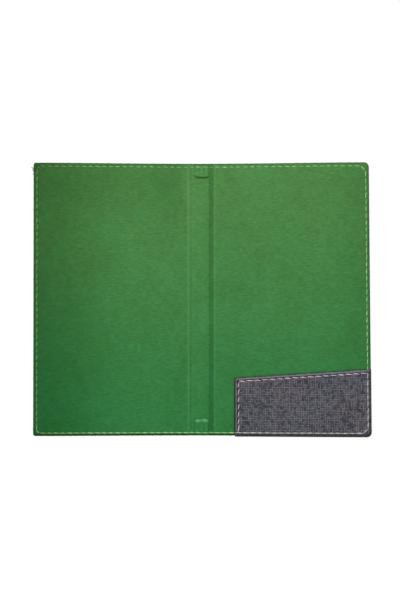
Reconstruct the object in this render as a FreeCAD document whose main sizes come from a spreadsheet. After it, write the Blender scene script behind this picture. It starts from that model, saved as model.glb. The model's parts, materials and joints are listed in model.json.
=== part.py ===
import FreeCAD, Part

import math
import os

import Sketcher

# Pocket notebook cover, lying open and flat with its lining upwards.
#
# A woven outer cloth, three stiff boards and an imitation-leather lining are
# sewn together round the edge.  Two pressed creases beside the spine board let
# each cover fold.  The back cover carries a cloth pocket in its lower corner,
# and two short tabs reinforce the head and the tail of the spine.
#
# Frame, in millimetres: +Z up, out of the lining; +Y towards the head; +X from
# the spine towards the back cover's fore edge.  The origin is the middle of the
# spine on the underside.  Each cover is drawn in a frame of its own, which
# starts at the centre of its crease with +X towards its fore edge; the front
# cover's frame is turned half a turn about Z.

SIZES = {
    # the whole cover
    "cover_height": 155.0,  # head to tail
    "panel_width": 90.0,  # a crease's centre to the fore edge
    "spine_width": 11.0,  # between the centres of the two creases
    "front_corner": 1.5,  # radius of the front cover's fore corners
    "back_corner": 2.8,  # the same on the back cover, which is cut rounder
    # layers, from the underside up
    "outer_thick": 0.6,
    "board_thick": 0.8,
    "lining_thick": 0.6,
    "lining_inset": 0.3,  # the outer cloth shows by this much round the lining
    "lining_round": 1.0,  # the lining's bend over the edge of a board
    "board_corner": 0.4,  # the smallest corner that a board is cut with
    "margin_width": 2.6,  # flat margin outside the boards, which takes the seam
    "fold_clearance": 0.1,  # air left beside a crease that is folded square
    # the seam round the edge
    "seam_inset": 1.8,  # from the edge to the thread's centre
    "front_seam_turn": 1.6,  # the diagonal stitch cuts this much off each side
    "back_seam_turn": 2.8,
    "channel_width": 0.8,  # the groove that the thread pulls into a layer
    "channel_depth": 0.25,
    "stitch_pitch": 3.9,
    "stitch_gap": 1.3,  # between the ends of two stitches
    "stitch_width": 0.6,
    "stitch_rise": 0.2,  # a stitch stands this far out of its groove
    # the reinforcing tabs on the spine
    "head_tab_length": 7.3,
    "tail_tab_length": 9.1,
    "tab_thick": 0.6,
    "tab_corner": 1.0,
    "tab_side_gap": 0.2,  # from a tab's side to the edge of the spine's flat
    # the pocket
    "pocket_width": 76.5,  # from the fore edge to the sewn side
    "pocket_side_height": 32.9,  # from the tail to the mouth, at the sewn side
    "pocket_edge_height": 38.1,  # the same at the fore edge
    "pocket_cloth": 0.5,
    "side_turns": 2.0,  # the sewn side is turned under twice, the mouth once
    "hem_width": 5.0,
    "hem_round": 0.4,  # the bend of a turned edge
    "pocket_seam_inset": 1.9,
    "pocket_pitch": 4.2,
}

# Heights of the faces, from the underside up.
BOARD_TOP = "(Sizes.outer_thick + Sizes.board_thick)"
MARGIN_TOP = "(Sizes.outer_thick + Sizes.lining_thick)"
LINING_TOP = "(Sizes.outer_thick + Sizes.board_thick + Sizes.lining_thick)"

# A crease is a flat floor between two 45 degree walls.  The walls stay outside
# the 45 degree lines through the fold's axis, which lies between the outer cloth
# and the lining, so that a cover folds square to the spine without touching it.
FOLD_GAP = "(Sizes.lining_thick + Sizes.fold_clearance)"

# From a board's edge to the foot of the lining's 45 degree slope, so that the
# lining keeps its thickness over the board's upper edge.
SLOPE_REACH = "(Sizes.lining_thick * (sqrt(2) - 1) + Sizes.board_thick)"
BOARD_SETBACK = f"({FOLD_GAP} + {SLOPE_REACH})"
BOARD_INSET = f"(Sizes.margin_width + {SLOPE_REACH})"
HALF_HEIGHT = "(Sizes.cover_height / 2)"
HALF_SPINE = "(Sizes.spine_width / 2)"
SPINE_FOOT = f"({HALF_SPINE} - {FOLD_GAP})"
LINING_EDGE = "(Sizes.panel_width - Sizes.lining_inset)"
LINING_SIDE = f"({HALF_HEIGHT} - Sizes.lining_inset)"
RAISED_EDGE = "(Sizes.panel_width - Sizes.margin_width)"
RAISED_SIDE = f"({HALF_HEIGHT} - Sizes.margin_width)"

# The pocket's cloth lies on the margin, climbs the lining's slope and runs on
# over a slot that is as high as the layers turned under at its sewn side.
POCKET_LEFT = "(Sizes.panel_width - Sizes.pocket_width)"
SLOT_TOP = f"({LINING_TOP} + Sizes.side_turns * Sizes.pocket_cloth)"
MOUTH_HEM_BOTTOM = f"({SLOT_TOP} - Sizes.pocket_cloth)"
POCKET_TOP = f"({SLOT_TOP} + Sizes.pocket_cloth)"
POCKET_MARGIN_TOP = f"({MARGIN_TOP} + Sizes.pocket_cloth)"
POCKET_RISE = f"({SLOT_TOP} - {MARGIN_TOP})"
CLOTH_FOOT = "(Sizes.margin_width - Sizes.pocket_cloth * (sqrt(2) - 1))"
MOUTH_SLOPE = "((Sizes.pocket_edge_height - Sizes.pocket_side_height) / Sizes.pocket_width)"

PAST = "5"  # how far a cutting outline runs past what it cuts
WALL_LEAN = 45.0  # a slope's angle from upright, in degrees
NEAR = 1e-4  # two places closer than this are the same, in millimetres

document = FreeCAD.newDocument("notebook_cover")
parts = []


def make_sheet():
    """Writes the driving sizes into the spreadsheet, one named cell each."""
    sheet = document.addObject("Spreadsheet::Sheet", "Sizes")
    for row, (name, size) in enumerate(SIZES.items(), start=1):
        sheet.set(f"A{row}", name)
        sheet.set(f"B{row}", str(size))
        sheet.setAlias(f"B{row}", name)
    document.recompute()
    return sheet


sheet = make_sheet()


def value(expression):
    """The number that an expression on the sheet's cells comes to."""
    return float(sheet.evalExpression(expression))


# ---------------------------------------------------------------- sketches


def add_sketch(body, name, lift="0", role="XY_Plane"):
    """A sketch on one of the body's own planes, raised along the plane's normal."""
    sketch = body.newObject("Sketcher::SketchObject", name)
    plane = next(item for item in body.Origin.OriginFeatures if item.Role == role)
    sketch.AttachmentSupport = [(plane, "")]
    sketch.MapMode = "FlatFace"
    sketch.setExpression("AttachmentOffset.Base.z", lift)
    return sketch


def constrain(sketch, *terms):
    """Adds a constraint and returns its number."""
    return sketch.addConstraint(Sketcher.Constraint(*terms))


def pin(sketch, direction, curve, end, expression):
    """Holds a curve's end at a distance from the sketch's origin."""
    index = constrain(sketch, direction, -1, 1, curve, end, value(expression))
    sketch.setExpression(f"Constraints[{index}]", expression)


def draw_polygon(sketch, points):
    """Draws a closed polygon through corners given as pairs of expressions."""
    first = sketch.GeometryCount
    corners = [FreeCAD.Vector(value(x), value(y), 0) for x, y in points]
    for start, end in zip(corners, corners[1:] + corners[:1]):
        sketch.addGeometry(Part.LineSegment(start, end), False)
    for index, (x, y) in enumerate(points):
        following = (index + 1) % len(points)
        constrain(sketch, "Coincident", first + index, 2, first + following, 1)
        pin(sketch, "DistanceX", first + index, 1, x)
        pin(sketch, "DistanceY", first + index, 1, y)


def draw_block(sketch, inner, outer, low, high):
    """Draws an upright rectangle between two pairs of expressions."""
    draw_polygon(sketch, [(inner, low), (outer, low), (outer, high), (inner, high)])


def draw_cover(sketch, inner, outer, half, radius):
    """Draws a cover's outline, square at the crease and round at the fore corners."""
    start, edge, side, bend = (value(item) for item in (inner, outer, half, radius))
    up = FreeCAD.Vector(0, 0, 1)
    first = sketch.GeometryCount
    tail, tail_turn, fore, head_turn, head, crease = range(first, first + 6)
    centres = [FreeCAD.Vector(edge - bend, y, 0) for y in (bend - side, side - bend)]
    turns = [Part.Circle(centre, up, bend) for centre in centres]
    runs = [
        ((start, -side), (edge - bend, -side)),
        ((edge, bend - side), (edge, side - bend)),
        ((edge - bend, side), (start, side)),
        ((start, side), (start, -side)),
    ]
    lines = [Part.LineSegment(FreeCAD.Vector(*a, 0), FreeCAD.Vector(*b, 0)) for a, b in runs]
    sketch.addGeometry(lines[0], False)
    sketch.addGeometry(Part.ArcOfCircle(turns[0], -math.pi / 2, 0), False)
    sketch.addGeometry(lines[1], False)
    sketch.addGeometry(Part.ArcOfCircle(turns[1], 0, math.pi / 2), False)
    sketch.addGeometry(lines[2], False)
    sketch.addGeometry(lines[3], False)
    for before, after in ((tail, tail_turn), (tail_turn, fore), (fore, head_turn), (head_turn, head)):
        constrain(sketch, "Tangent", before, 2, after, 1)
    constrain(sketch, "Coincident", head, 2, crease, 1)
    constrain(sketch, "Coincident", crease, 2, tail, 1)
    for line in (tail, head):
        constrain(sketch, "Horizontal", line)
    for line in (fore, crease):
        constrain(sketch, "Vertical", line)
    constrain(sketch, "Equal", tail_turn, head_turn)
    index = constrain(sketch, "Radius", tail_turn, bend)
    sketch.setExpression(f"Constraints[{index}]", radius)
    pin(sketch, "DistanceX", crease, 1, inner)
    pin(sketch, "DistanceX", fore, 1, outer)
    pin(sketch, "DistanceY", tail, 1, f"-{half}")
    pin(sketch, "DistanceY", head, 1, half)


# ---------------------------------------------------------------- features


def add_pad(body, sketch, name, thickness, taper=0.0):
    """Raises a sketch; a negative taper leans the walls inwards."""
    pad = body.newObject("PartDesign::Pad", name)
    pad.Profile = sketch
    pad.TaperAngle = taper
    pad.setExpression("Length", thickness)
    document.recompute()
    return pad


def add_cut(body, sketch, name, depth, taper=0.0):
    """Cuts a sketch downwards from its plane, and makes sure that it cut."""
    before = body.Shape.Volume
    cut = body.newObject("PartDesign::Pocket", name)
    cut.Profile = sketch
    cut.TaperAngle = taper
    cut.setExpression("Length", depth)
    document.recompute()
    require_less(body, before, name)
    return cut


def require_less(body, before, name):
    """Stops the macro if a cut took nothing away."""
    if not body.Shape.Volume < before - 1e-6:
        raise RuntimeError(f"{name} of {body.Label} cuts nothing")


def add_fillet(body, name, radius, chosen):
    """Rounds the edges of the body's last feature for which chosen(box) is true."""
    base = body.Tip
    edges = enumerate(base.Shape.Edges, start=1)
    names = [f"Edge{number}" for number, edge in edges if chosen(edge.BoundBox)]
    if not names:
        raise RuntimeError(f"{name} of {body.Label} finds no edge")
    fillet = body.newObject("PartDesign::Fillet", name)
    fillet.Base = (base, names)
    fillet.setExpression("Radius", radius)
    document.recompute()
    return fillet


def at_height(height):
    """A test for edges that lie flat at a height."""
    level = value(height)

    def flat_there(box):
        return abs(box.ZMin - level) < NEAR and abs(box.ZMax - level) < NEAR

    return flat_there


# ---------------------------------------------------------------- sub-parts


def make_body(label):
    """A new body, kept in the list of sub-parts."""
    body = document.addObject("PartDesign::Body", label)
    body.Label = label
    parts.append(body)
    return body


def put_on_cover(item, side):
    """Moves an item from a cover's own frame to its place; side is 1 at the back."""
    turn = FreeCAD.Rotation(FreeCAD.Vector(0, 0, 1), 0 if side > 0 else 180)
    item.Placement = FreeCAD.Placement(FreeCAD.Vector(0, 0, 0), turn)
    item.setExpression(".Placement.Base.x", f"{side} * {HALF_SPINE}")


def seam_line(start, inset, turn):
    """The corners of a line round a cover at an inset from its edges, from a place
    beside the crease at the tail to the head; a diagonal cuts each fore corner."""
    leg = f"({turn} - (2 - sqrt(2)) * ({inset} - Sizes.seam_inset))"
    edge = f"(Sizes.panel_width - {inset})"
    side = f"({HALF_HEIGHT} - {inset})"
    return [
        (start, f"-{side}"),
        (f"({edge} - {leg})", f"-{side}"),
        (edge, f"({leg} - {side})"),
        (edge, f"({side} - {leg})"),
        (f"({edge} - {leg})", side),
        (start, side),
    ]


def cut_seam_channel(body, top, turn):
    """Presses the groove for the edge seam into a cover's layer, from its top face."""
    sketch = add_sketch(body, f"{body.Label}_channel_outline", top)
    outside = "(Sizes.seam_inset - Sizes.channel_width / 2)"
    inside = "(Sizes.seam_inset + Sizes.channel_width / 2)"
    draw_polygon(sketch, seam_line(f"(-2 * {PAST})", outside, turn))
    draw_polygon(sketch, seam_line(f"(-{PAST})", inside, turn))
    add_cut(body, sketch, f"{body.Label}_channel", "Sizes.channel_depth")


def cut_straight_channels(body, top, half_width):
    """Presses the seam's groove across a strip of the spine, at its head and tail."""
    for end, sign in (("head", 1), ("tail", -1)):
        line = f"({sign} * ({HALF_HEIGHT} - Sizes.seam_inset))"
        sketch = add_sketch(body, f"{body.Label}_{end}_channel_outline", top)
        low = f"({line} - Sizes.channel_width / 2)"
        high = f"({line} + Sizes.channel_width / 2)"
        draw_block(sketch, f"-({half_width} + {PAST})", f"({half_width} + {PAST})", low, high)
        add_cut(body, sketch, f"{body.Label}_{end}_channel", "Sizes.channel_depth")


def make_outer_panel(label, side, corner, turn):
    """A cover's outer cloth, with the seam's groove in its underside."""
    body = make_body(label)
    sketch = add_sketch(body, f"{label}_outline")
    draw_cover(sketch, FOLD_GAP, "Sizes.panel_width", HALF_HEIGHT, corner)
    add_pad(body, sketch, f"{label}_cloth", "Sizes.outer_thick")
    cut_seam_channel(body, "Sizes.channel_depth", turn)
    put_on_cover(body, side)


def board_radius(turn):
    """A board's corner, round enough for its lining to stay inside the seam's diagonal."""
    groove = f"({turn} / sqrt(2) + Sizes.channel_width / 2)"
    margin = "((Sizes.margin_width - Sizes.seam_inset) * sqrt(2))"
    foot = f"(({groove} - {margin}) / (sqrt(2) - 1))"
    return f"max(Sizes.board_corner; {foot} - {SLOPE_REACH})"


def make_board(label, side, turn):
    """A cover's stiff board."""
    body = make_body(label)
    sketch = add_sketch(body, f"{label}_outline", "Sizes.outer_thick")
    half = f"({HALF_HEIGHT} - {BOARD_INSET})"
    outer = f"(Sizes.panel_width - {BOARD_INSET})"
    draw_cover(sketch, BOARD_SETBACK, outer, half, board_radius(turn))
    add_pad(body, sketch, f"{label}_sheet", "Sizes.board_thick")
    put_on_cover(body, side)


def make_lining_panel(label, side, corner, turn):
    """A cover's lining, drawn down over its board to the margin and the crease."""
    body = make_body(label)
    radius = board_radius(turn)
    margin = add_sketch(body, f"{label}_margin_outline", "Sizes.outer_thick")
    draw_cover(margin, FOLD_GAP, LINING_EDGE, LINING_SIDE, f"({corner} - Sizes.lining_inset)")
    add_pad(body, margin, f"{label}_margin", "Sizes.lining_thick")
    raised = add_sketch(body, f"{label}_raised_outline", MARGIN_TOP)
    draw_cover(raised, FOLD_GAP, RAISED_EDGE, RAISED_SIDE, f"({radius} + {SLOPE_REACH})")
    add_pad(body, raised, f"{label}_raised", "Sizes.board_thick", taper=-WALL_LEAN)
    add_fillet(body, f"{label}_round", "Sizes.lining_round", at_height(LINING_TOP))
    recess = add_sketch(body, f"{label}_recess_outline", BOARD_TOP)
    half = f"({HALF_HEIGHT} - {BOARD_INSET})"
    outer = f"(Sizes.panel_width - {BOARD_INSET})"
    draw_cover(recess, BOARD_SETBACK, outer, half, radius)
    add_cut(body, recess, f"{label}_recess", "Sizes.board_thick")
    cut_seam_channel(body, MARGIN_TOP, turn)
    put_on_cover(body, side)


def make_spine():
    """The spine's outer cloth, board and lining."""
    outer = make_body("outer_spine")
    sketch = add_sketch(outer, "outer_spine_outline")
    draw_block(sketch, f"-{SPINE_FOOT}", SPINE_FOOT, f"-{HALF_HEIGHT}", HALF_HEIGHT)
    add_pad(outer, sketch, "outer_spine_cloth", "Sizes.outer_thick")
    cut_straight_channels(outer, "Sizes.channel_depth", SPINE_FOOT)

    half_board = f"({HALF_SPINE} - {BOARD_SETBACK})"
    board_side = f"({HALF_HEIGHT} - {BOARD_INSET})"
    board = make_body("spine_board")
    sketch = add_sketch(board, "spine_board_outline", "Sizes.outer_thick")
    draw_block(sketch, f"-{half_board}", half_board, f"-{board_side}", board_side)
    add_pad(board, sketch, "spine_board_sheet", "Sizes.board_thick")

    lining = make_body("lining_spine")
    margin = add_sketch(lining, "lining_spine_margin_outline", "Sizes.outer_thick")
    draw_block(margin, f"-{SPINE_FOOT}", SPINE_FOOT, f"-{LINING_SIDE}", LINING_SIDE)
    add_pad(lining, margin, "lining_spine_margin", "Sizes.lining_thick")
    raised = add_sketch(lining, "lining_spine_raised_outline", MARGIN_TOP)
    draw_block(raised, f"-{SPINE_FOOT}", SPINE_FOOT, f"-{RAISED_SIDE}", RAISED_SIDE)
    add_pad(lining, raised, "lining_spine_raised", "Sizes.board_thick", taper=-WALL_LEAN)
    recess = add_sketch(lining, "lining_spine_recess_outline", BOARD_TOP)
    draw_block(recess, f"-{half_board}", half_board, f"-{board_side}", board_side)
    add_cut(lining, recess, "lining_spine_recess", "Sizes.board_thick")
    cut_straight_channels(lining, MARGIN_TOP, SPINE_FOOT)


def make_crease(label, side, floor, half, thickness, groove_top):
    """The flat strip of one layer that bends when a cover folds, with the seam's groove."""
    body = make_body(label)
    sketch = add_sketch(body, f"{label}_outline", floor)
    draw_block(sketch, f"-{FOLD_GAP}", FOLD_GAP, f"-{half}", half)
    add_pad(body, sketch, f"{label}_strip", thickness)
    cut_straight_channels(body, groove_top, FOLD_GAP)
    put_on_cover(body, side)


def make_tab(label, end, length):
    """A reinforcing tab, laid on the spine's lining from its edge inwards."""
    body = make_body(label)
    thick = "Sizes.tab_thick"
    reach = f"({HALF_HEIGHT} - {length})"
    top_foot = f"({RAISED_SIDE} + {thick} * (sqrt(2) - 1))"
    half_width = f"({SPINE_FOOT} - Sizes.board_thick - Sizes.tab_side_gap)"
    profile = add_sketch(body, f"{label}_profile", f"-{half_width}", role="YZ_Plane")
    side_view = [
        (LINING_SIDE, MARGIN_TOP),
        (LINING_SIDE, f"({MARGIN_TOP} + {thick})"),
        (top_foot, f"({MARGIN_TOP} + {thick})"),
        (f"({top_foot} - Sizes.board_thick)", f"({LINING_TOP} + {thick})"),
        (reach, f"({LINING_TOP} + {thick})"),
        (reach, LINING_TOP),
        (f"({RAISED_SIDE} - Sizes.board_thick)", LINING_TOP),
        (RAISED_SIDE, MARGIN_TOP),
    ]
    draw_polygon(profile, [(f"{end} * {along}", height) for along, height in side_view])
    add_pad(body, profile, f"{label}_sheet", f"2 * {half_width}")
    corner = abs(value(reach))
    flat = value(thick)

    def upright(box):
        at_end = box.YLength < NEAR and abs(abs(box.YMin) - corner) < NEAR
        return at_end and box.XLength < NEAR and abs(box.ZLength - flat) < NEAR

    add_fillet(body, f"{label}_corners", "Sizes.tab_corner", upright)
    line = f"({end} * ({HALF_HEIGHT} - Sizes.seam_inset))"
    channel = add_sketch(body, f"{label}_channel_outline", f"({MARGIN_TOP} + {thick})")
    low = f"({line} - Sizes.channel_width / 2)"
    high = f"({line} + Sizes.channel_width / 2)"
    draw_block(channel, f"-({half_width} + {PAST})", f"({half_width} + {PAST})", low, high)
    add_cut(body, channel, f"{label}_channel", "Sizes.channel_depth")


# ---------------------------------------------------------------- the pocket


def mouth_height(across, drop="0"):
    """How far up the cover a line lies that runs parallel to the mouth, below it by drop."""
    climb = f"{MOUTH_SLOPE} * ({across} - {POCKET_LEFT})"
    fall = f"({drop}) * sqrt(1 + {MOUTH_SLOPE} ^ 2)"
    return f"(Sizes.pocket_side_height + {climb} - {fall} - {HALF_HEIGHT})"


def mouth_band(inner, outer, low, high):
    """The corners of a strip along the mouth, between two drops below it."""
    return [
        (inner, mouth_height(inner, low)),
        (outer, mouth_height(outer, low)),
        (outer, mouth_height(outer, high)),
        (inner, mouth_height(inner, high)),
    ]


def cut_outline(body, name, lift, corners, depth):
    """Cuts a polygon downwards from a height."""
    sketch = add_sketch(body, f"{name}_outline", lift)
    draw_polygon(sketch, corners)
    add_cut(body, sketch, name, depth)


def make_pocket():
    """The pocket: one cloth with turned hems, over a slot that is open at the mouth."""
    body = make_body("pocket_panel")
    foot_radius = f"({board_radius('Sizes.back_seam_turn')} + {SLOPE_REACH})"
    past_edge = f"(Sizes.panel_width + {PAST})"
    past_tail = f"(-{HALF_HEIGHT} - {PAST})"
    past_head = f"({HALF_HEIGHT} + {PAST})"
    past_left = f"({POCKET_LEFT} - {POCKET_RISE} - {PAST})"

    # the cloth on the margin, and the block that its raised part is cut from
    margin = add_sketch(body, "pocket_margin_outline", MARGIN_TOP)
    right_mouth = mouth_height("Sizes.panel_width")
    draw_polygon(
        margin,
        [
            (POCKET_LEFT, f"-{HALF_HEIGHT}"),
            ("Sizes.panel_width", f"-{HALF_HEIGHT}"),
            ("Sizes.panel_width", right_mouth),
            (POCKET_LEFT, mouth_height(POCKET_LEFT)),
        ],
    )
    add_pad(body, margin, "pocket_margin", "Sizes.pocket_cloth")
    edge = value("Sizes.panel_width")
    tail = value(f"-{HALF_HEIGHT}")

    def at_corner(box):
        return box.XMin > edge - NEAR and box.YMax < tail + NEAR

    add_fillet(body, "pocket_corner", "Sizes.back_corner", at_corner)
    raised = add_sketch(body, "pocket_raised_outline", POCKET_MARGIN_TOP)
    cloth_radius = f"({foot_radius} + Sizes.margin_width - {CLOTH_FOOT})"
    cloth_edge = f"(Sizes.panel_width - {CLOTH_FOOT})"
    draw_cover(raised, past_left, cloth_edge, f"({HALF_HEIGHT} - {CLOTH_FOOT})", cloth_radius)
    add_pad(body, raised, "pocket_raised", POCKET_RISE, taper=-WALL_LEAN)
    beyond = [
        (past_left, past_tail),
        (POCKET_LEFT, past_tail),
        (POCKET_LEFT, mouth_height(POCKET_LEFT)),
        (past_edge, mouth_height(past_edge)),
        (past_edge, past_head),
        (past_left, past_head),
    ]
    cut_outline(body, "pocket_trim", POCKET_TOP, beyond, f"({POCKET_TOP} - {MARGIN_TOP})")

    # a turned edge is round where the cloth folds under
    top = value(POCKET_TOP)
    left = value(POCKET_LEFT)
    mouth = value(mouth_height(POCKET_LEFT))

    def folded(box):
        on_side = box.XMax < left + NEAR
        on_mouth = box.YMax > mouth + NEAR and box.YMin > mouth - NEAR
        return box.ZMin > top - NEAR and (on_side or on_mouth)

    add_fillet(body, "pocket_folds", "Sizes.hem_round", folded)

    # underneath: the lining's raised panel, the slot, and the slot's way out
    bed = add_sketch(body, "pocket_bed_outline", LINING_TOP)
    bed_edge = f"({RAISED_EDGE} - Sizes.board_thick)"
    bed_side = f"({RAISED_SIDE} - Sizes.board_thick)"
    draw_cover(bed, past_left, bed_edge, bed_side, f"({foot_radius} - Sizes.board_thick)")
    add_cut(body, bed, "pocket_bed", "Sizes.board_thick", taper=WALL_LEAN)
    slot_left = f"({POCKET_LEFT} + Sizes.hem_width)"
    slot_right = f"({RAISED_EDGE} - {POCKET_RISE})"
    slot_low = f"({POCKET_RISE} - {RAISED_SIDE})"
    slot = [
        (slot_left, slot_low),
        (f"({slot_right} - {foot_radius})", slot_low),
        (slot_right, f"({slot_low} + {foot_radius})"),
        (slot_right, mouth_height(slot_right, "Sizes.hem_width")),
        (slot_left, mouth_height(slot_left, "Sizes.hem_width")),
    ]
    cut_outline(body, "pocket_slot", SLOT_TOP, slot, f"({SLOT_TOP} - {LINING_TOP})")
    way_out = mouth_band(slot_left, slot_right, f"(Sizes.hem_width + {PAST})", f"-{PAST}")
    gap = f"({MOUTH_HEM_BOTTOM} - {LINING_TOP})"
    cut_outline(body, "pocket_mouth", MOUTH_HEM_BOTTOM, way_out, gap)

    # grooves of the edge seam and of the pocket's own two seams
    cut_seam_channel(body, POCKET_MARGIN_TOP, "Sizes.back_seam_turn")
    near = "(Sizes.pocket_seam_inset - Sizes.channel_width / 2)"
    far = "(Sizes.pocket_seam_inset + Sizes.channel_width / 2)"
    near_x = f"({POCKET_LEFT} + {near})"
    far_x = f"({POCKET_LEFT} + {far})"
    side_groove = [
        (near_x, past_tail),
        (far_x, past_tail),
        (far_x, mouth_height(far_x, near)),
        (near_x, mouth_height(near_x, near)),
    ]
    cut_outline(body, "pocket_side_channel", POCKET_TOP, side_groove, "Sizes.channel_depth")
    mouth_groove = mouth_band(far_x, past_edge, far, near)
    cut_outline(body, "pocket_mouth_channel", POCKET_TOP, mouth_groove, "Sizes.channel_depth")
    put_on_cover(body, 1)


# ---------------------------------------------------------------- the stitches


def straight_runs(points):
    """The straight runs of a seam through corners given as pairs of expressions."""
    corners = [FreeCAD.Vector(value(x), value(y), 0) for x, y in points]
    return [Part.LineSegment(*ends).toShape() for ends in zip(corners, corners[1:])]


def stitch(start, end, floor, tall):
    """One stitch between two needle holes, narrower at its top than at its foot."""
    run = end - start
    length = (run.Length - value("Sizes.stitch_gap")) / 2
    width = value("Sizes.stitch_width") / 2
    lean = width / 2
    solid = Part.makeWedge(
        -length, 0, -width, -width + lean, -length + lean,
        length, tall, width, width - lean, length - lean,
    )
    middle = (start + end) / 2
    upright = FreeCAD.Rotation(FreeCAD.Vector(1, 0, 0), 90)
    along = FreeCAD.Rotation(FreeCAD.Vector(0, 0, 1), math.degrees(math.atan2(run.y, run.x)))
    place = FreeCAD.Vector(middle.x, middle.y, floor)
    solid.Placement = FreeCAD.Placement(place, along.multiply(upright))
    return solid


def make_stitches(label, runs, pitch, floor, tall, side=0):
    """A row of stitches along each run, as one sub-part.

    Every run starts and ends in a needle hole.  The floor is a height, or a function
    that gives the height below a stitch."""
    solids = []
    for run in runs:
        count = max(1, round(run.Length / value(pitch)))
        holes = run.discretize(Number=count + 1)
        for start, end in zip(holes, holes[1:]):
            level = floor((start + end) / 2) if callable(floor) else value(floor)
            solids.append(stitch(start, end, level, value(tall)))
    row = document.addObject("Part::Feature", label)
    row.Label = label
    row.Shape = Part.makeCompound(solids)
    if side:
        put_on_cover(row, side)
    parts.append(row)


def back_seam_floor(middle):
    """The groove's floor below a stitch of the back cover: pocket cloth or lining."""
    reach = value("Sizes.stitch_pitch") / 2
    across = max(middle.x, value(POCKET_LEFT))
    below_mouth = middle.y < value(mouth_height(str(across))) + reach
    on_pocket = below_mouth and middle.x > value(POCKET_LEFT) - reach
    top = POCKET_MARGIN_TOP if on_pocket else MARGIN_TOP
    return value(f"{top} - Sizes.channel_depth")


def make_edge_seam():
    """The seam round the edge: upper and lower threads on the covers and the spine."""
    pitch = "Sizes.stitch_pitch"
    deep = "Sizes.channel_depth"
    proud = "(Sizes.channel_depth + Sizes.stitch_rise)"
    start = f"({FOLD_GAP} + Sizes.board_thick)"
    back = straight_runs(seam_line(start, "Sizes.seam_inset", "Sizes.back_seam_turn"))
    front = straight_runs(seam_line(start, "Sizes.seam_inset", "Sizes.front_seam_turn"))
    make_stitches("edge_stitches_back_inside", back, pitch, back_seam_floor, proud, 1)
    make_stitches("edge_stitches_back_outside", back, pitch, "0", deep, 1)
    lining_floor = f"({MARGIN_TOP} - {deep})"
    make_stitches("edge_stitches_front_inside", front, pitch, lining_floor, proud, -1)
    make_stitches("edge_stitches_front_outside", front, pitch, "0", deep, -1)
    half_run = f"({SPINE_FOOT} - Sizes.board_thick)"
    line = f"({HALF_HEIGHT} - Sizes.seam_inset)"
    across = []
    for end in (line, f"-{line}"):
        across += straight_runs([(f"-{half_run}", end), (half_run, end)])
    tab_floor = f"({lining_floor} + Sizes.tab_thick)"
    make_stitches("edge_stitches_spine_inside", across, pitch, tab_floor, proud)
    make_stitches("edge_stitches_spine_outside", across, pitch, "0", deep)


def make_pocket_seams():
    """The row that sews the pocket's side down, and the row along its mouth."""
    inset = "Sizes.pocket_seam_inset"
    proud = "(Sizes.channel_depth + Sizes.stitch_rise)"
    floor = f"({POCKET_TOP} - Sizes.channel_depth)"
    seam_x = f"({POCKET_LEFT} + {inset})"
    low = f"({CLOTH_FOOT} + {POCKET_RISE} - {HALF_HEIGHT})"
    far_x = f"(Sizes.panel_width - {CLOTH_FOOT} - {POCKET_RISE})"
    corner = (seam_x, mouth_height(seam_x, inset))
    side = straight_runs([corner, (seam_x, low)])
    mouth = straight_runs([corner, (far_x, mouth_height(far_x, inset))])
    make_stitches("pocket_side_stitches", side, "Sizes.pocket_pitch", floor, proud, 1)
    make_stitches("pocket_mouth_stitches", mouth, "Sizes.pocket_pitch", floor, proud, 1)


# ---------------------------------------------------------------- the model


def make_model():
    """Builds every sub-part."""
    for label, side in (("back", 1), ("front", -1)):
        corner = f"Sizes.{label}_corner"
        turn = f"Sizes.{label}_seam_turn"
        make_outer_panel(f"outer_{label}", side, corner, turn)
        make_board(f"{label}_board", side, turn)
        make_lining_panel(f"lining_{label}", side, corner, turn)
        outer = ("0", HALF_HEIGHT, "Sizes.outer_thick", "Sizes.channel_depth")
        lining = ("Sizes.outer_thick", LINING_SIDE, "Sizes.lining_thick", MARGIN_TOP)
        make_crease(f"outer_{label}_crease", side, *outer)
        make_crease(f"lining_{label}_crease", side, *lining)
    make_spine()
    make_tab("head_tab", 1, "Sizes.head_tab_length")
    make_tab("tail_tab", -1, "Sizes.tail_tab_length")
    make_pocket()
    make_edge_seam()
    make_pocket_seams()


def check_model():
    """Stops the macro if an object failed or a sub-part's shape isn't sound."""
    document.recompute()
    for item in document.Objects:
        if "Invalid" in item.State or "Error" in item.State:
            raise RuntimeError(f"{item.Label} did not compute: {item.State}")
    for item in parts:
        if item.Shape.isNull() or not item.Shape.isValid() or not item.Shape.Solids:
            raise RuntimeError(f"{item.Label} is not a sound solid")


def write_parts():
    """Writes each sub-part's shape to a STEP file named after it."""
    os.makedirs("parts", exist_ok=True)
    for item in parts:
        item.Shape.exportStep(f"parts/{item.Label}.step")


make_model()
check_model()
write_parts()
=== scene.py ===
"""Looks of an open pocket notebook cover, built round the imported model.

A woven shell, thin boards and a brushed imitation-leather lining are sewn together
round the edge. The back cover has a corner pocket of the shell's cloth, and each end
of the spine has a reinforcing tab. Lengths are in millimetres until a mesh is
written, which is in metres. +X runs to the back cover's fore edge, +Y to the head
and +Z up, out of the lining.
"""

import json
import logging
import math
from collections.abc import Callable, Sequence
from dataclasses import dataclass
from enum import Enum

import bmesh
import bpy
import numpy as np
from mathutils import Matrix, Vector


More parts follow.
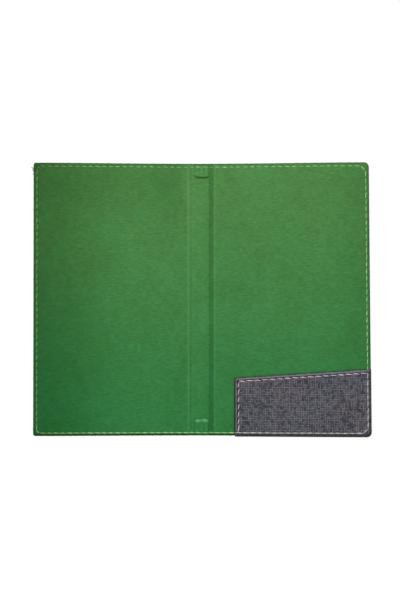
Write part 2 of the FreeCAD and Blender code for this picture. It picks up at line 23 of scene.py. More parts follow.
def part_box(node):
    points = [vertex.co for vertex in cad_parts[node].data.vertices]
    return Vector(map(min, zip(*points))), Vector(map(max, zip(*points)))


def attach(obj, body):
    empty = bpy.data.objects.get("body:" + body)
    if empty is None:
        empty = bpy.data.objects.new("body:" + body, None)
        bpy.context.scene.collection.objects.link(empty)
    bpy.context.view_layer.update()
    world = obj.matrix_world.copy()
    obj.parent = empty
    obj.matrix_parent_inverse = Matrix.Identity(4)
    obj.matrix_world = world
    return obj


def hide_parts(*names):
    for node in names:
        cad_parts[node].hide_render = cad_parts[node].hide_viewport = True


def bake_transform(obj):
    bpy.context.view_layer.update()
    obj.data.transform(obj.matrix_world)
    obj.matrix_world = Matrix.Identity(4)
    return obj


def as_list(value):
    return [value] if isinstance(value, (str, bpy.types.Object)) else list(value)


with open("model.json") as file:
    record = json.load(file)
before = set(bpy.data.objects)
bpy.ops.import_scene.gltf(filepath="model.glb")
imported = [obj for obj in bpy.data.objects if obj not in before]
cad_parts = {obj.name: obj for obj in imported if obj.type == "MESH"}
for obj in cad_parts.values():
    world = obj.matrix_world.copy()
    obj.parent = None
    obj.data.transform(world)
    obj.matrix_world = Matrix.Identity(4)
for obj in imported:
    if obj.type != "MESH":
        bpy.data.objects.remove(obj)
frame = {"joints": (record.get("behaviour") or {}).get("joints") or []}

LOG = logging.getLogger("notebook_cover")
MM = 0.001
FAR = 1e6
NEAR = 1e-5
PLACE = "rest_place"  # the attribute that holds where a point is at rest, in metres
TONE = "tone"  # the attribute that lightens or darkens a surface, 1 where it does neither
Array = np.ndarray
Surface = Callable[[Array, Array], Array]


class Side(Enum):
    """A cover, by the side of the spine that it is on."""

    FRONT = -1
    BACK = 1


class Face(Enum):
    """A face of the open cover."""

    INSIDE = 1
    OUTSIDE = -1


def smooth(t: Array) -> Array:
    """Eases from 0 to 1 as t does, and stays there outside."""
    t = np.clip(t, 0.0, 1.0)
    return t * t * (3.0 - 2.0 * t)


def hump(distance: Array, reach: float) -> Array:
    """A rounded hump of height 1 that has mostly gone at its reach."""
    return np.exp(-((distance / reach) ** 2))


@dataclass(frozen=True)
class Ramp:
    """An easing between 0 and 1, from its start over its run."""

    start: float
    run: float

    def up(self, value: Array) -> Array:
        """From 0 up to 1 as the value grows."""
        return smooth((value - self.start) / self.run)

    def down(self, value: Array) -> Array:
        """From 1 down to 0 as the value grows."""
        return 1.0 - self.up(value)


@dataclass(frozen=True)
class Band:
    """A soft band round a line, with its strength in the middle."""

    middle: float
    reach: float
    strength: float

    def at(self, value: Array) -> Array:
        """How strong the band is at each value."""
        return self.strength * hump(value - self.middle, self.reach)


def lines(*runs: tuple[float, float, float]) -> Array:
    """Places grid lines through runs that follow each other.

    Args:
        runs: the start, end and spacing of each run.

    Returns:
        The places of the lines, from the first start to the last end.
    """
    parts = [
        np.linspace(a, b, max(1, round((b - a) / step)), endpoint=False) for a, b, step in runs
    ]
    return np.append(np.concatenate(parts), runs[-1][1])


def node_box(name: str) -> tuple[Array, Array]:
    """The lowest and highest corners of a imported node, in millimetres."""
    low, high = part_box(name)
    return np.array(low) / MM, np.array(high) / MM


# ------------------------------------------------------------------ the cover's form


@dataclass(frozen=True)
class Layout:
    """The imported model's measures that every piece is built on."""

    fore_edge: float
    half_height: float
    crease: float
    shell_top: float
    board_top: float
    lining_top: float
    lining_inset: float
    pocket_left: float

    @classmethod
    def read(cls, joints: Sequence[dict]) -> "Layout":
        """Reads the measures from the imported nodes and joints.

        Args:
            joints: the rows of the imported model's joints.

        Returns:
            The layout of the cover.
        """
        shell = node_box("outer_back")[1]
        lining = node_box("lining_back")[1]
        fold = next(row for row in joints if row["name"] == "back_fold")
        return cls(
            fore_edge=float(shell[0]),
            half_height=float(shell[1]),
            crease=fold["pos_m"][0] / MM,
            shell_top=float(shell[2]),
            board_top=float(node_box("back_board")[1][2]),
            lining_top=float(lining[2]),
            lining_inset=float(shell[0] - lining[0]),
            pocket_left=float(node_box("pocket_panel")[0][0]),
        )


@dataclass(frozen=True)
class Crease:
    """A pressed crease in the lining, beside the spine.

    It is deepest a little off its centre, and rises from there over one distance
    towards the spine's middle and another towards the cover. The zone is how far from
    its centre the layers turn when the cover folds.
    """

    side: Side
    depth: float
    deepest: float
    inward: float
    outward: float
    zone: float

    def drop(self, x: Array, centre: float) -> Array:
        """How far the lining lies below its flat.

        Args:
            x: places across the cover.
            centre: how far the crease is from the spine's middle.

        Returns:
            The drop at each place.
        """
        out = self.side.value * x - centre - self.deepest
        return self.depth * (1.0 - smooth(np.maximum(-out / self.inward, out / self.outward)))


@dataclass(frozen=True)
class CoverForm:
    """The shape of the sewn cover: its outline, its faces and its slight bow.

    A pair of numbers is for the front and back, or for the head and tail. Ramps named
    after ends or edges start from the cover's outline and run inwards.
    """

    layout: Layout
    corners: tuple[float, float] = (1.5, 2.8)  # outline radii, front and back
    edge_height: float = 1.12  # the lining's top at its cut edge
    seam_height: float = 1.55  # and where the seam presses it
    edge_roll: float = 1.1
    panel_roll: Ramp = Ramp(0.9, 8.0)
    crown: float = 0.12  # the spine strip is this much higher in its middle
    crown_half: float = 4.2
    crown_ends: Ramp = Ramp(0.0, 6.0)
    crease_ends: Ramp = Ramp(-1.4, 4.0)
    welt: Band = Band(1.95, 0.55, 0.15)  # the ridge that a crease pushes up beside it
    welt_ends: Ramp = Ramp(0.0, 3.0)
    tab_half: float = 3.8  # half a spine tab's width
    tab_rise: float = 0.62  # how much a tab lifts the seam that crosses it
    tab_side: Ramp = Ramp(-0.2, 0.5)
    tab_reach: tuple[float, float] = (70.2, 68.4)  # where the tabs end, head and tail
    head_sag: tuple[float, float] = (0.55, 0.15)  # the sag of the head tab's end, its place
    tail_step: float = 0.3
    tail_step_run: Ramp = Ramp(-0.45, 0.4)
    tail_scallop: float = 0.28
    tail_scallop_turn: tuple[float, float] = (2.6, 1.15)
    slow_wave: float = 0.10  # the lining dries with slow and quick waves this high
    slow_lengths: tuple[float, float, float] = (15.0, 61.0, 21.0)
    slow_phases: tuple[float, float] = (1.3, 0.4)
    quick_wave: float = 0.05
    quick_lengths: tuple[float, float] = (7.1, 9.7)
    wavy_edges: Ramp = Ramp(2.5, 12.0)
    wavy_sides: Ramp = Ramp(9.0, 14.0)  # by the distance from the spine's middle
    bow: float = 1.1  # the fore edges stand this much off the table
    bow_start: float = 12.0
    corner_lift: float = 0.4
    ends_give: float = 0.13  # the head and tail have stretched out by this much
    waist: tuple[float, float] = (0.62, 0.30)  # drawn in at the spine, head and tail
    splay: float = 0.62  # the back cover's fore edge leans out towards the tail
    splay_run: Ramp = Ramp(12.0, 80.0)
    creases: tuple[Crease, Crease] = (
        Crease(Side.FRONT, depth=0.32, deepest=0.5, inward=1.5, outward=1.3, zone=0.9),
        Crease(Side.BACK, depth=0.85, deepest=0.6, inward=2.5, outward=0.95, zone=0.7),
    )

    def crease(self, side: Side) -> Crease:
        """The crease on that side of the spine."""
        return next(crease for crease in self.creases if crease.side is side)

    def radius(self, x: Array) -> Array:
        """The outline's corner radius on the side that a place is on."""
        return np.where(x > 0.0, self.corners[1], self.corners[0])

    def edge_distance(self, x: Array, y: Array) -> Array:
        """Measures from places to the cover's outline.

        Args:
            x: places across the cover.
            y: places along it.

        Returns:
            How far inside the outline each place is.
        """
        radius = self.radius(x)
        over_x = np.abs(x) - (self.layout.fore_edge - radius)
        over_y = np.abs(y) - (self.layout.half_height - radius)
        beyond = np.hypot(np.maximum(over_x, 0.0), np.maximum(over_y, 0.0))
        return radius - beyond - np.minimum(np.maximum(over_x, over_y), 0.0)

    def rounded(self, x: Array, y: Array, inset: float) -> tuple[Array, Array]:
        """Draws a square grid's corners in to the outline's arcs.

        Args:
            x: places across the cover.
            y: places along it.
            inset: how far inside the outline the grid's edge runs.

        Returns:
            The same places, with those in a corner square moved onto its disc.
        """
        radius = self.radius(x) - inset
        base_x = self.layout.fore_edge - inset - radius
        base_y = self.layout.half_height - inset - radius
        u = np.clip((np.abs(x) - base_x) / radius, 0.0, None)
        v = np.clip((np.abs(y) - base_y) / radius, 0.0, None)
        in_corner = (u > 0.0) & (v > 0.0)
        disc_x = base_x + radius * u * np.sqrt(1.0 - np.minimum(v, 1.0) ** 2 / 2.0)
        disc_y = base_y + radius * v * np.sqrt(1.0 - np.minimum(u, 1.0) ** 2 / 2.0)
        new_x = np.where(in_corner, np.sign(x) * disc_x, x)
        new_y = np.where(in_corner, np.sign(y) * disc_y, y)
        return new_x, new_y

    def waves(self, x: Array, y: Array) -> Array:
        """The waves that the glued lining has dried with, where nothing holds it flat.

        Args:
            x: places across the cover.
            y: places along it.

        Returns:
            The height of the waves at each place.
        """
        long_x, long_y, cross_y = self.slow_lengths
        slow = np.sin(x / long_x + self.slow_phases[0] + y / long_y)
        slow *= np.cos(y / cross_y + self.slow_phases[1])
        quick = np.sin(x / self.quick_lengths[0] - y / self.quick_lengths[1])
        return self.slow_wave * slow + self.quick_wave * quick

    def lining(self, x: Array, y: Array) -> Array:
        """The lining's face, without what its seams press into it.

        Args:
            x: places across the cover.
            y: places along it.

        Returns:
            The height of the face at each place.
        """
        inside = self.edge_distance(x, y)
        rolled = Ramp(self.layout.lining_inset, self.edge_roll).up(inside)
        height = self.edge_height + (self.seam_height - self.edge_height) * rolled
        height += (self.layout.lining_top - self.seam_height) * self.panel_roll.up(inside)
        for crease in self.creases:
            height -= crease.drop(x, self.layout.crease) * self.crease_ends.up(inside)
            beside = crease.side.value * x - self.layout.crease
            height += self.welt.at(beside) * self.welt_ends.up(inside)
        arch = np.cos(np.clip(x / self.crown_half, -1.0, 1.0) * math.pi / 2.0)
        height += self.crown * arch * self.crown_ends.up(inside)
        free = self.wavy_edges.up(inside) * self.wavy_sides.up(np.abs(x))
        return height + free * self.waves(x, y)

    def lining_back(self, x: Array, y: Array, thickness: float) -> Array:
        """The height of the lining's glued side, which never passes into the shell."""
        return np.maximum(self.lining(x, y) - thickness, self.layout.shell_top)

    def tab_edge(self, end: int, x: Array) -> Array:
        """How far from the cover's middle a tab's free edge runs.

        Args:
            end: 1 for the head's tab, which sags in its middle, or -1 for the tail's,
                which has two shallow waves.
            x: places across the spine.

        Returns:
            The distance along the cover at each place.
        """
        across = np.clip(x / self.tab_half, -1.0, 1.0)
        if end > 0:
            sag, place = self.head_sag
            return self.tab_reach[0] - sag * (1.0 - (across - place) ** 2)
        turn, phase = self.tail_scallop_turn
        scallops = self.tail_scallop * np.abs(np.sin(turn * across + phase))
        return self.tab_reach[1] - self.tail_step * self.tail_step_run.up(across) - scallops

    def seam_bed(self, x: Array, y: Array) -> Array:
        """The surface that the edge seam's thread lies on, over the tabs as well.

        Args:
            x: places across the cover.
            y: places along it.

        Returns:
            The height of the surface at each place.
        """
        reach = np.where(y > 0.0, self.tab_reach[0], self.tab_reach[1])
        on_tab = self.tab_side.down(np.abs(x) - self.tab_half) * (np.abs(y) > reach)
        return self.lining(x, y) + self.tab_rise * on_tab

    def settle(self, x: Array, y: Array, z: Array) -> Array:
        """Moves places of the squarely drawn cover to where the sewn one has them.

        Args:
            x: places across.
            y: places along.
            z: heights.

        Returns:
            The places as rows of three, in metres.
        """
        fore, half = self.layout.fore_edge, self.layout.half_height
        across = np.clip((np.abs(x) - self.bow_start) / (fore - self.bow_start), 0.0, None) ** 2
        lift = across * (self.bow + self.corner_lift * (np.abs(y) / half) ** 2)
        drawn = np.where(y > 0.0, self.waist[0], self.waist[1])
        near_spine = 1.0 - smooth(np.abs(x) / fore)
        lean = np.where(x > 0.0, self.splay_run.up(x), 0.0)
        new_x = x - self.splay * lean * y / half
        new_y = y * (1.0 + (self.ends_give - drawn * near_spine) / half)
        return np.column_stack((new_x, new_y, z + lift)) * MM


# ------------------------------------------------------------------ seams


@dataclass(frozen=True)
class Seam:
    """A row of needle holes, with the groove that its thread pulls into a layer."""

    holes: Array
    depth: float = 0.2
    hole_depth: float = 0.2
    width: float = 0.42
    hole_width: float = 0.62
    pucker: float = 0.05  # the layer swells this much beside the groove
    pucker_place: float = 1.3
    pucker_width: float = 1.1
    pucker_holes: Band = Band(0.0, 1.9, 1.6)  # and sinks at the needle holes
    margin: float = 8.0  # nothing further off is measured

    def near(self, x: Array, y: Array) -> tuple[Array, Array]:
        """Measures from each place to the seam.

        Args:
            x: places across.
            y: places along.

        Returns:
            The distance to the line of the seam, and to its nearest needle hole.
        """
        to_line = np.full(x.shape, FAR)
        to_hole = np.full(x.shape, FAR)
        low, high = self.holes.min(axis=0) - self.margin, self.holes.max(axis=0) + self.margin
        close = np.flatnonzero((x > low[0]) & (x < high[0]) & (y > low[1]) & (y < high[1]))
        for start, end in zip(self.holes[:-1], self.holes[1:]):
            run = end - start
            apart_x, apart_y = x[close] - start[0], y[close] - start[1]
            t = np.clip((apart_x * run[0] + apart_y * run[1]) / (run @ run), 0.0, 1.0)
            found = np.hypot(apart_x - t * run[0], apart_y - t * run[1])
            to_line[close] = np.minimum(to_line[close], found)
            to_hole[close] = np.minimum(to_hole[close], np.hypot(apart_x, apart_y))
        last = np.hypot(x[close] - self.holes[-1][0], y[close] - self.holes[-1][1])
        to_hole[close] = np.minimum(to_hole[close], last)
        return to_line, to_hole

    def press(self, x: Array, y: Array) -> Array:
        """Pulls a layer down along the seam, with a slight swelling between its holes.

        Args:
            x: places across.
            y: places along.

        Returns:
            How far the layer is lowered at each place.
        """
        to_line, to_hole = self.near(x, y)
        groove = self.depth * hump(to_line, self.width)
        groove += self.hole_depth * hump(to_hole, self.hole_width)
        beside = hump(to_line - self.pucker_place, self.pucker_width)
        return groove - self.pucker * beside * (1.0 - self.pucker_holes.at(to_hole))


def holes_along(corners: Sequence[tuple[float, float]], pitch: float) -> Array:
    """Spaces needle holes along straight runs, with one at each corner.

    Args:
        corners: the corners of the seam.
        pitch: the wanted distance between two holes.

    Returns:
        The holes as rows of two.
    """
    found = [np.array(corners[0], float)[None]]
    for start, end in zip(corners, corners[1:]):
        a, b = np.array(start, float), np.array(end, float)
        count = max(1, round(float(np.linalg.norm(b - a)) / pitch))
        found.append(a + (b - a) * (np.arange(1, count + 1) / count)[:, None])
    return np.concatenate(found)


@dataclass(frozen=True)
class SeamPlan:
    """Where the seams of the cover run."""

    layout: Layout
    inset: float = 1.8
    fore_insets: tuple[float, float] = (2.08, 1.95)  # front, back
    drifts: tuple[float, float] = (-0.27, -0.14)  # the seam's lie towards the tail: head, tail
    turns: tuple[float, float] = (1.6, 2.8)  # the cut corners, front and back
    pitch: float = 3.9
    spine_run: float = 4.0
    cover_start: float = 1.5
    pocket_inset: float = 1.9
    pocket_pitch: float = 4.2
    pocket_overlap: float = 0.6
    mouth_inset: float = 1.87
    mouth_slump: float = 0.4  # the loose mouth has sunk towards the tail
    mouth_low: float = -44.6
    mouth_high: float = -39.4

    def edge(self, side: Side) -> Array:
        """The holes round one cover.

        Args:
            side: the cover.

        Returns:
            The holes, from the spine's middle at the tail to the head.
        """
        turn = self.turns[0] if side is Side.FRONT else self.turns[1]
        fore = self.layout.fore_edge - self.fore_insets[0 if side is Side.FRONT else 1]
        line = self.layout.half_height - self.inset
        start = self.layout.crease + self.cover_start
        tail = [(0.0, -line), (self.spine_run, -line), (start, -line), (fore - turn, -line)]
        tail.append((fore, turn - line))
        head = [(x, -y) for x, y in reversed(tail)]
        corners = [
            (side.value * x, y + self.drifts[0 if y > 0.0 else 1]) for x, y in tail + head
        ]
        return holes_along(corners, self.pitch)

    def mouth(self, x: Array) -> Array:
        """How far along the cover the pocket's slanted mouth lies."""
        share = (x - self.layout.pocket_left) / (self.layout.fore_edge - self.layout.pocket_left)
        return self.mouth_low + (self.mouth_high - self.mouth_low) * share - self.mouth_slump

    def mouth_lean(self) -> float:
        """The cosine of the mouth's slant."""
        width = self.layout.fore_edge - self.layout.pocket_left
        return width / math.hypot(width, self.mouth_high - self.mouth_low)

    def below_mouth(self, x: float) -> tuple[float, float]:
        """The place on the mouth's seam that is so far across."""
        return x, float(self.mouth(x)) - self.mouth_inset / self.mouth_lean()

    def pocket_side(self) -> Array:
        """The holes that sew the pocket's side down, from the mouth to the tail."""
        x = self.layout.pocket_left + self.pocket_inset
        tail = (x, self.inset - self.layout.half_height)
        return holes_along([self.below_mouth(x), tail], self.pocket_pitch)

    def pocket_mouth(self) -> Array:
        """The holes along the pocket's mouth, from its side to the fore edge."""
        start = self.layout.pocket_left + self.pocket_inset
        end = self.layout.fore_edge - self.fore_insets[1]
        return holes_along([self.below_mouth(start), self.below_mouth(end)], self.pocket_pitch)

    def on_pocket(self, place: Array) -> bool:
        """Whether a place on the edge seam lies on the pocket's cloth."""
        left = self.layout.pocket_left
        below = place[1] < self.mouth(max(place[0], left))
        return bool(below and place[0] > left - self.pocket_overlap)


# ------------------------------------------------------------------ meshes


def put_in_scene(
    name: str, mesh: bpy.types.Mesh, materials: Sequence[bpy.types.Material]
) -> bpy.types.Object:
    """Makes a shown piece of a mesh.

    Args:
        name: the piece's name.
        mesh: its mesh, in place.
        materials: what its faces are made of, by material index.

    Returns:
        The piece.
    """
    piece = bpy.data.objects.new(name, mesh)
    bpy.context.scene.collection.objects.link(piece)
    for material in materials:
        mesh.materials.append(material)
    LOG.info("%s: %d faces", name, len(mesh.polygons))
    return piece


def write_points(mesh: bpy.types.Mesh, points: Array, tone: Array | None = None) -> None:
    """Moves a mesh's vertices and keeps where they are at rest for its materials.

    Args:
        mesh: the mesh.
        points: a row for each vertex, in metres.
        tone: how light the surface is at each vertex, 1 where not given.
    """
    mesh.vertices.foreach_set("co", points.astype(np.float32).ravel())
    place = mesh.attributes.new(PLACE, "FLOAT_VECTOR", "POINT")
    place.data.foreach_set("vector", points.astype(np.float32).ravel())
    values = np.ones(len(points)) if tone is None else tone
    mesh.attributes.new(TONE, "FLOAT", "POINT").data.foreach_set("value", values.astype(np.float32))
    mesh.update()


def extent(edge: bmesh.types.BMEdge, axis: int) -> float:
    """How far an edge runs along an axis."""
    return abs(edge.verts[0].co[axis] - edge.verts[1].co[axis])


def write_mesh(name: str, shape: bmesh.types.BMesh) -> bpy.types.Mesh:
    """Turns a finished working mesh into a kept one, and frees it."""
    mesh = bpy.data.meshes.new(name)
    shape.to_mesh(mesh)
    shape.free()
    return mesh


@dataclass(frozen=True)
class SheetMesh:
    """A closed sheet on a grid: two faces and the rim between them."""

    name: str
    across: Array
    along: Array

    def slab(self) -> bmesh.types.BMesh:
        """The sheet as a unit slab with even columns and rows, its rim cut once.

        Returns:
            The slab. Faces of its rim have material 1.
        """
        slab = bmesh.new()
        columns, rows = len(self.across) - 1, len(self.along) - 1
        bmesh.ops.create_grid(slab, x_segments=columns, y_segments=rows, size=0.5)
        raised = bmesh.ops.extrude_face_region(slab, geom=list(slab.faces))["geom"]
        upper = [item for item in raised if isinstance(item, bmesh.types.BMVert)]
        bmesh.ops.translate(slab, verts=upper, vec=(0.0, 0.0, 1.0))
        rim = [edge for edge in slab.edges if extent(edge, 2) > 0.5]
        bmesh.ops.subdivide_edges(slab, edges=rim, cuts=1, use_grid_fill=True)
        bmesh.ops.recalc_face_normals(slab, faces=list(slab.faces))
        for face in slab.faces:
            face.smooth = True
            face.material_index = int(abs(face.normal.z) < 0.5)
        return slab

    def sharpen(self, slab: bmesh.types.BMesh, seams_cut: Sequence[float]) -> None:
        """Keeps the shading from bending round edges where the sheet is cut square.

        Args:
            slab: the unit slab.
            seams_cut: the places across of those edges.
        """
        columns = len(self.across) - 1
        cuts = {
            int(np.argmin(np.abs(self.across - place))) / columns - 0.5 for place in seams_cut
        }
        for edge in slab.edges:
            on_cut = any(abs(edge.verts[0].co.x - cut) < NEAR for cut in cuts)
            runs_along = extent(edge, 0) < NEAR and extent(edge, 2) < NEAR
            edge.smooth = not (on_cut and runs_along and len(edge.link_faces) == 2)

    def build(
        self,
        shape: Callable[[Array, Array, Array], Array],
        tone: Surface | None = None,
        seams_cut: Sequence[float] = (),
    ) -> bpy.types.Mesh:
        """Makes the mesh and moves it into shape.

        Args:
            shape: gives the points in metres for places across and along and a level,
                which is 0 on the lower face, 1 on the upper one and half on the rim.
            tone: how light the surface is at a place.
            seams_cut: places across where the sheet is cut square to join another.

        Returns:
            The mesh.
        """
        slab = self.slab()
        self.sharpen(slab, seams_cut)
        mesh = write_mesh(self.name, slab)
        unit = np.zeros(len(mesh.vertices) * 3)
        mesh.vertices.foreach_get("co", unit)
        unit = unit.reshape(-1, 3)
        x = self.across[np.rint((unit[:, 0] + 0.5) * (len(self.across) - 1)).astype(int)]
        y = self.along[np.rint((unit[:, 1] + 0.5) * (len(self.along) - 1)).astype(int)]
        write_points(mesh, shape(x, y, unit[:, 2]), None if tone is None else tone(x, y))
        return mesh


@dataclass(frozen=True)
class Bar:
    """A bar along Z, a unit long, that is copied and bent into lengths of yarn."""

    sides: int
    cuts: int
    tip: float = 1.0  # its radius at the upper end; at the lower one it is 1
    soft: bool = True

    def build(self) -> tuple[bpy.types.Mesh, Array]:
        """Makes the bar.

        Returns:
            Its mesh, and its points as rows of three.
        """
        bar = bmesh.new()
        bmesh.ops.create_cone(
            bar, cap_ends=True, cap_tris=False, segments=self.sides,
            radius1=1.0, radius2=self.tip, depth=1.0,
        )
        upright = [edge for edge in bar.edges if extent(edge, 2) > 0.5]
        bmesh.ops.subdivide_edges(bar, edges=upright, cuts=self.cuts, use_grid_fill=True)
        for face in bar.faces:
            face.smooth = self.soft
        points = np.array([vert.co for vert in bar.verts])
        return write_mesh("bar", bar), points


def join_copies(
    name: str, one: bpy.types.Mesh, laid: Sequence[Array], tones: Sequence[Array] = ()
) -> bpy.types.Mesh:
    """Joins bent copies of a mesh, which isn't needed any more after that.

    Args:
        name: the joined mesh's name.
        one: the mesh that is copied.
        laid: the points of each copy, in metres.
        tones: how light each copy's points are.

    Returns:
        The joined mesh.
    """
    row = bmesh.new()
    for _ in laid:
        row.from_mesh(one)
    mesh = write_mesh(name, row)
    bpy.data.meshes.remove(one)
    write_points(mesh, np.concatenate(laid), np.concatenate(tones) if len(tones) else None)
    return mesh


@dataclass(frozen=True)
class StitchRow:
    """The visible stitches of a seam: two plies, slightly slanted, ends in the holes.

    Spreads are how much one stitch differs from the next.
    """

    holes: Array
    surface: Surface
    face: Face = Face.INSIDE
    gap: float = 0.55
    gap_spread: float = 0.25
    tail_gap: float = -0.1  # the tail's stitches run into each other
    thread: float = 0.61
    flatten: float = 0.6
    slant: float = -0.11
    aside_spread: float = 0.05
    sink: float = 0.14
    uneven: float = 0.12
    tail_swell: float = 0.3  # the tail's thread is laid looser and stands wider
    tail_zone: float = 0.9  # as a share of the cover's half height
    fore_share: float = 0.45  # the gaps are shorter along a fore edge
    upright: float = 0.9  # a stitch runs along one if it is as straight as this
    ply_groove: float = 0.2
    ply_twist: float = 2.4
    taper: float = 0.5
    dive: float = 0.22  # how far the ends go down into their holes
    tail_dive: float = 0.12
    table: float = 0.01  # no thread lies lower
    tone: Surface | None = None
    tone_spread: float = 0.07
    seed: int = 11

    def build(
        self, name: str, form: CoverForm, keep: Callable[[Array], bool] | None = None
    ) -> bpy.types.Mesh:
        """Lays a stitch between each two holes.

        Args:
            name: the mesh's name.
            form: the cover that the seam is sewn in.
            keep: whether to lay the stitch whose middle is at a place.

        Returns:
            The mesh of all the stitches.
        """
        bar, unit = Bar(sides=8, cuts=5).build()
        laid, tones, rng = [], [], np.random.default_rng(self.seed)
        for start, end in zip(self.holes[:-1], self.holes[1:]):
            chance = rng.uniform(-1.0, 1.0, 3)
            middle = (start + end) / 2.0
            if keep is None or keep(middle):
                laid.append(self.lay(unit, start, end, chance, form))
                shade = 1.0 if self.tone is None else self.tone(middle[:1], middle[1:])[0]
                tones.append(np.full(len(unit), shade * (1.0 + self.tone_spread * chance[2])))
        return join_copies(name, bar, laid, tones)

    def lay(
        self, unit: Array, start: Array, end: Array, chance: Array, form: CoverForm
    ) -> Array:
        """Bends the bar into one stitch.

        Args:
            unit: the bar's points.
            start: the first needle hole.
            end: the second one.
            chance: three numbers from -1 to 1 that make this stitch its own.
            form: the cover.

        Returns:
            The stitch's points in metres.
        """
        run = end - start
        middle = (start + end) / 2.0
        length = float(np.hypot(*run))
        ahead = run / length
        aside = np.array([-ahead[1], ahead[0]])
        at_tail = middle[1] < -form.layout.half_height * self.tail_zone
        gap, dive, swell = self.gap, self.dive, 0.0
        if at_tail:
            gap, dive, swell = self.tail_gap, self.tail_dive, self.tail_swell
        if abs(ahead[1]) > self.upright:
            gap *= self.fore_share
        t = unit[:, 2] * 2.0
        angle = np.arctan2(unit[:, 1], unit[:, 0])
        plies = 1.0 + self.ply_groove * (np.cos(2.0 * (angle - self.ply_twist * t)) - 1.0)
        size = self.thread / 2.0 * (1.0 + self.uneven * chance[0]) * (1.0 + swell)
        size = size * plies * (1.0 - self.taper * t**4)
        along = t * (length - gap * (1.0 + self.gap_spread * chance[1])) / 2.0
        sideways = size * np.cos(angle) + self.slant * t + self.aside_spread * chance[2]
        up = size * np.sin(angle) * self.flatten - dive * np.abs(t) ** 3
        x = middle[0] + ahead[0] * along + aside[0] * sideways
        y = middle[1] + ahead[1] * along + aside[1] * sideways
        lift = self.thread / 2.0 * self.flatten - self.sink
        z = self.surface(x, y) + self.face.value * (up + lift)
        return form.settle(x, y, np.maximum(z, self.table))


# ------------------------------------------------------------------ materials


def linear(code: str) -> tuple[float, float, float, float]:
    """A colour written as sRGB hex, made linear."""
    parts = [int(code[place : place + 2], 16) / 255.0 for place in (1, 3, 5)]
    red, green, blue = (c / 12.92 if c <= 0.04045 else ((c + 0.055) / 1.055) ** 2.4 for c in parts)
    return red, green, blue, 1.0


def per(size: float) -> float:
    """How often a pattern of some size, in millimetres, fits into a metre."""
    return 1.0 / (size * MM)


def add(
    tree: bpy.types.NodeTree, kind: str, inputs: dict | None = None, **settings: object
) -> bpy.types.Node:
    """Adds a node.

    Args:
        tree: the node tree.
        kind: the node's type.
        inputs: values, or sockets to link, by the input's name or number.
        settings: the node's own properties.

    Returns:
        The node.
    """
    node = tree.nodes.new(kind)
    for name, value in settings.items():
        setattr(node, name, value)
    for key, value in (inputs or {}).items():
        if isinstance(value, bpy.types.NodeSocket):
            tree.links.new(value, node.inputs[key])
        else:
            node.inputs[key].default_value = value
    return node


def new_material(name: str) -> tuple[bpy.types.Material, bpy.types.NodeTree]:
    """An empty material and its node tree."""
    material = bpy.data.materials.new(name)
    material.use_nodes = True
    material.node_tree.nodes.clear()
    return material, material.node_tree


@dataclass(frozen=True)
class Relief:
    """How strongly a pattern's height shows, and how high it stands in millimetres."""

    strength: float
    distance: float


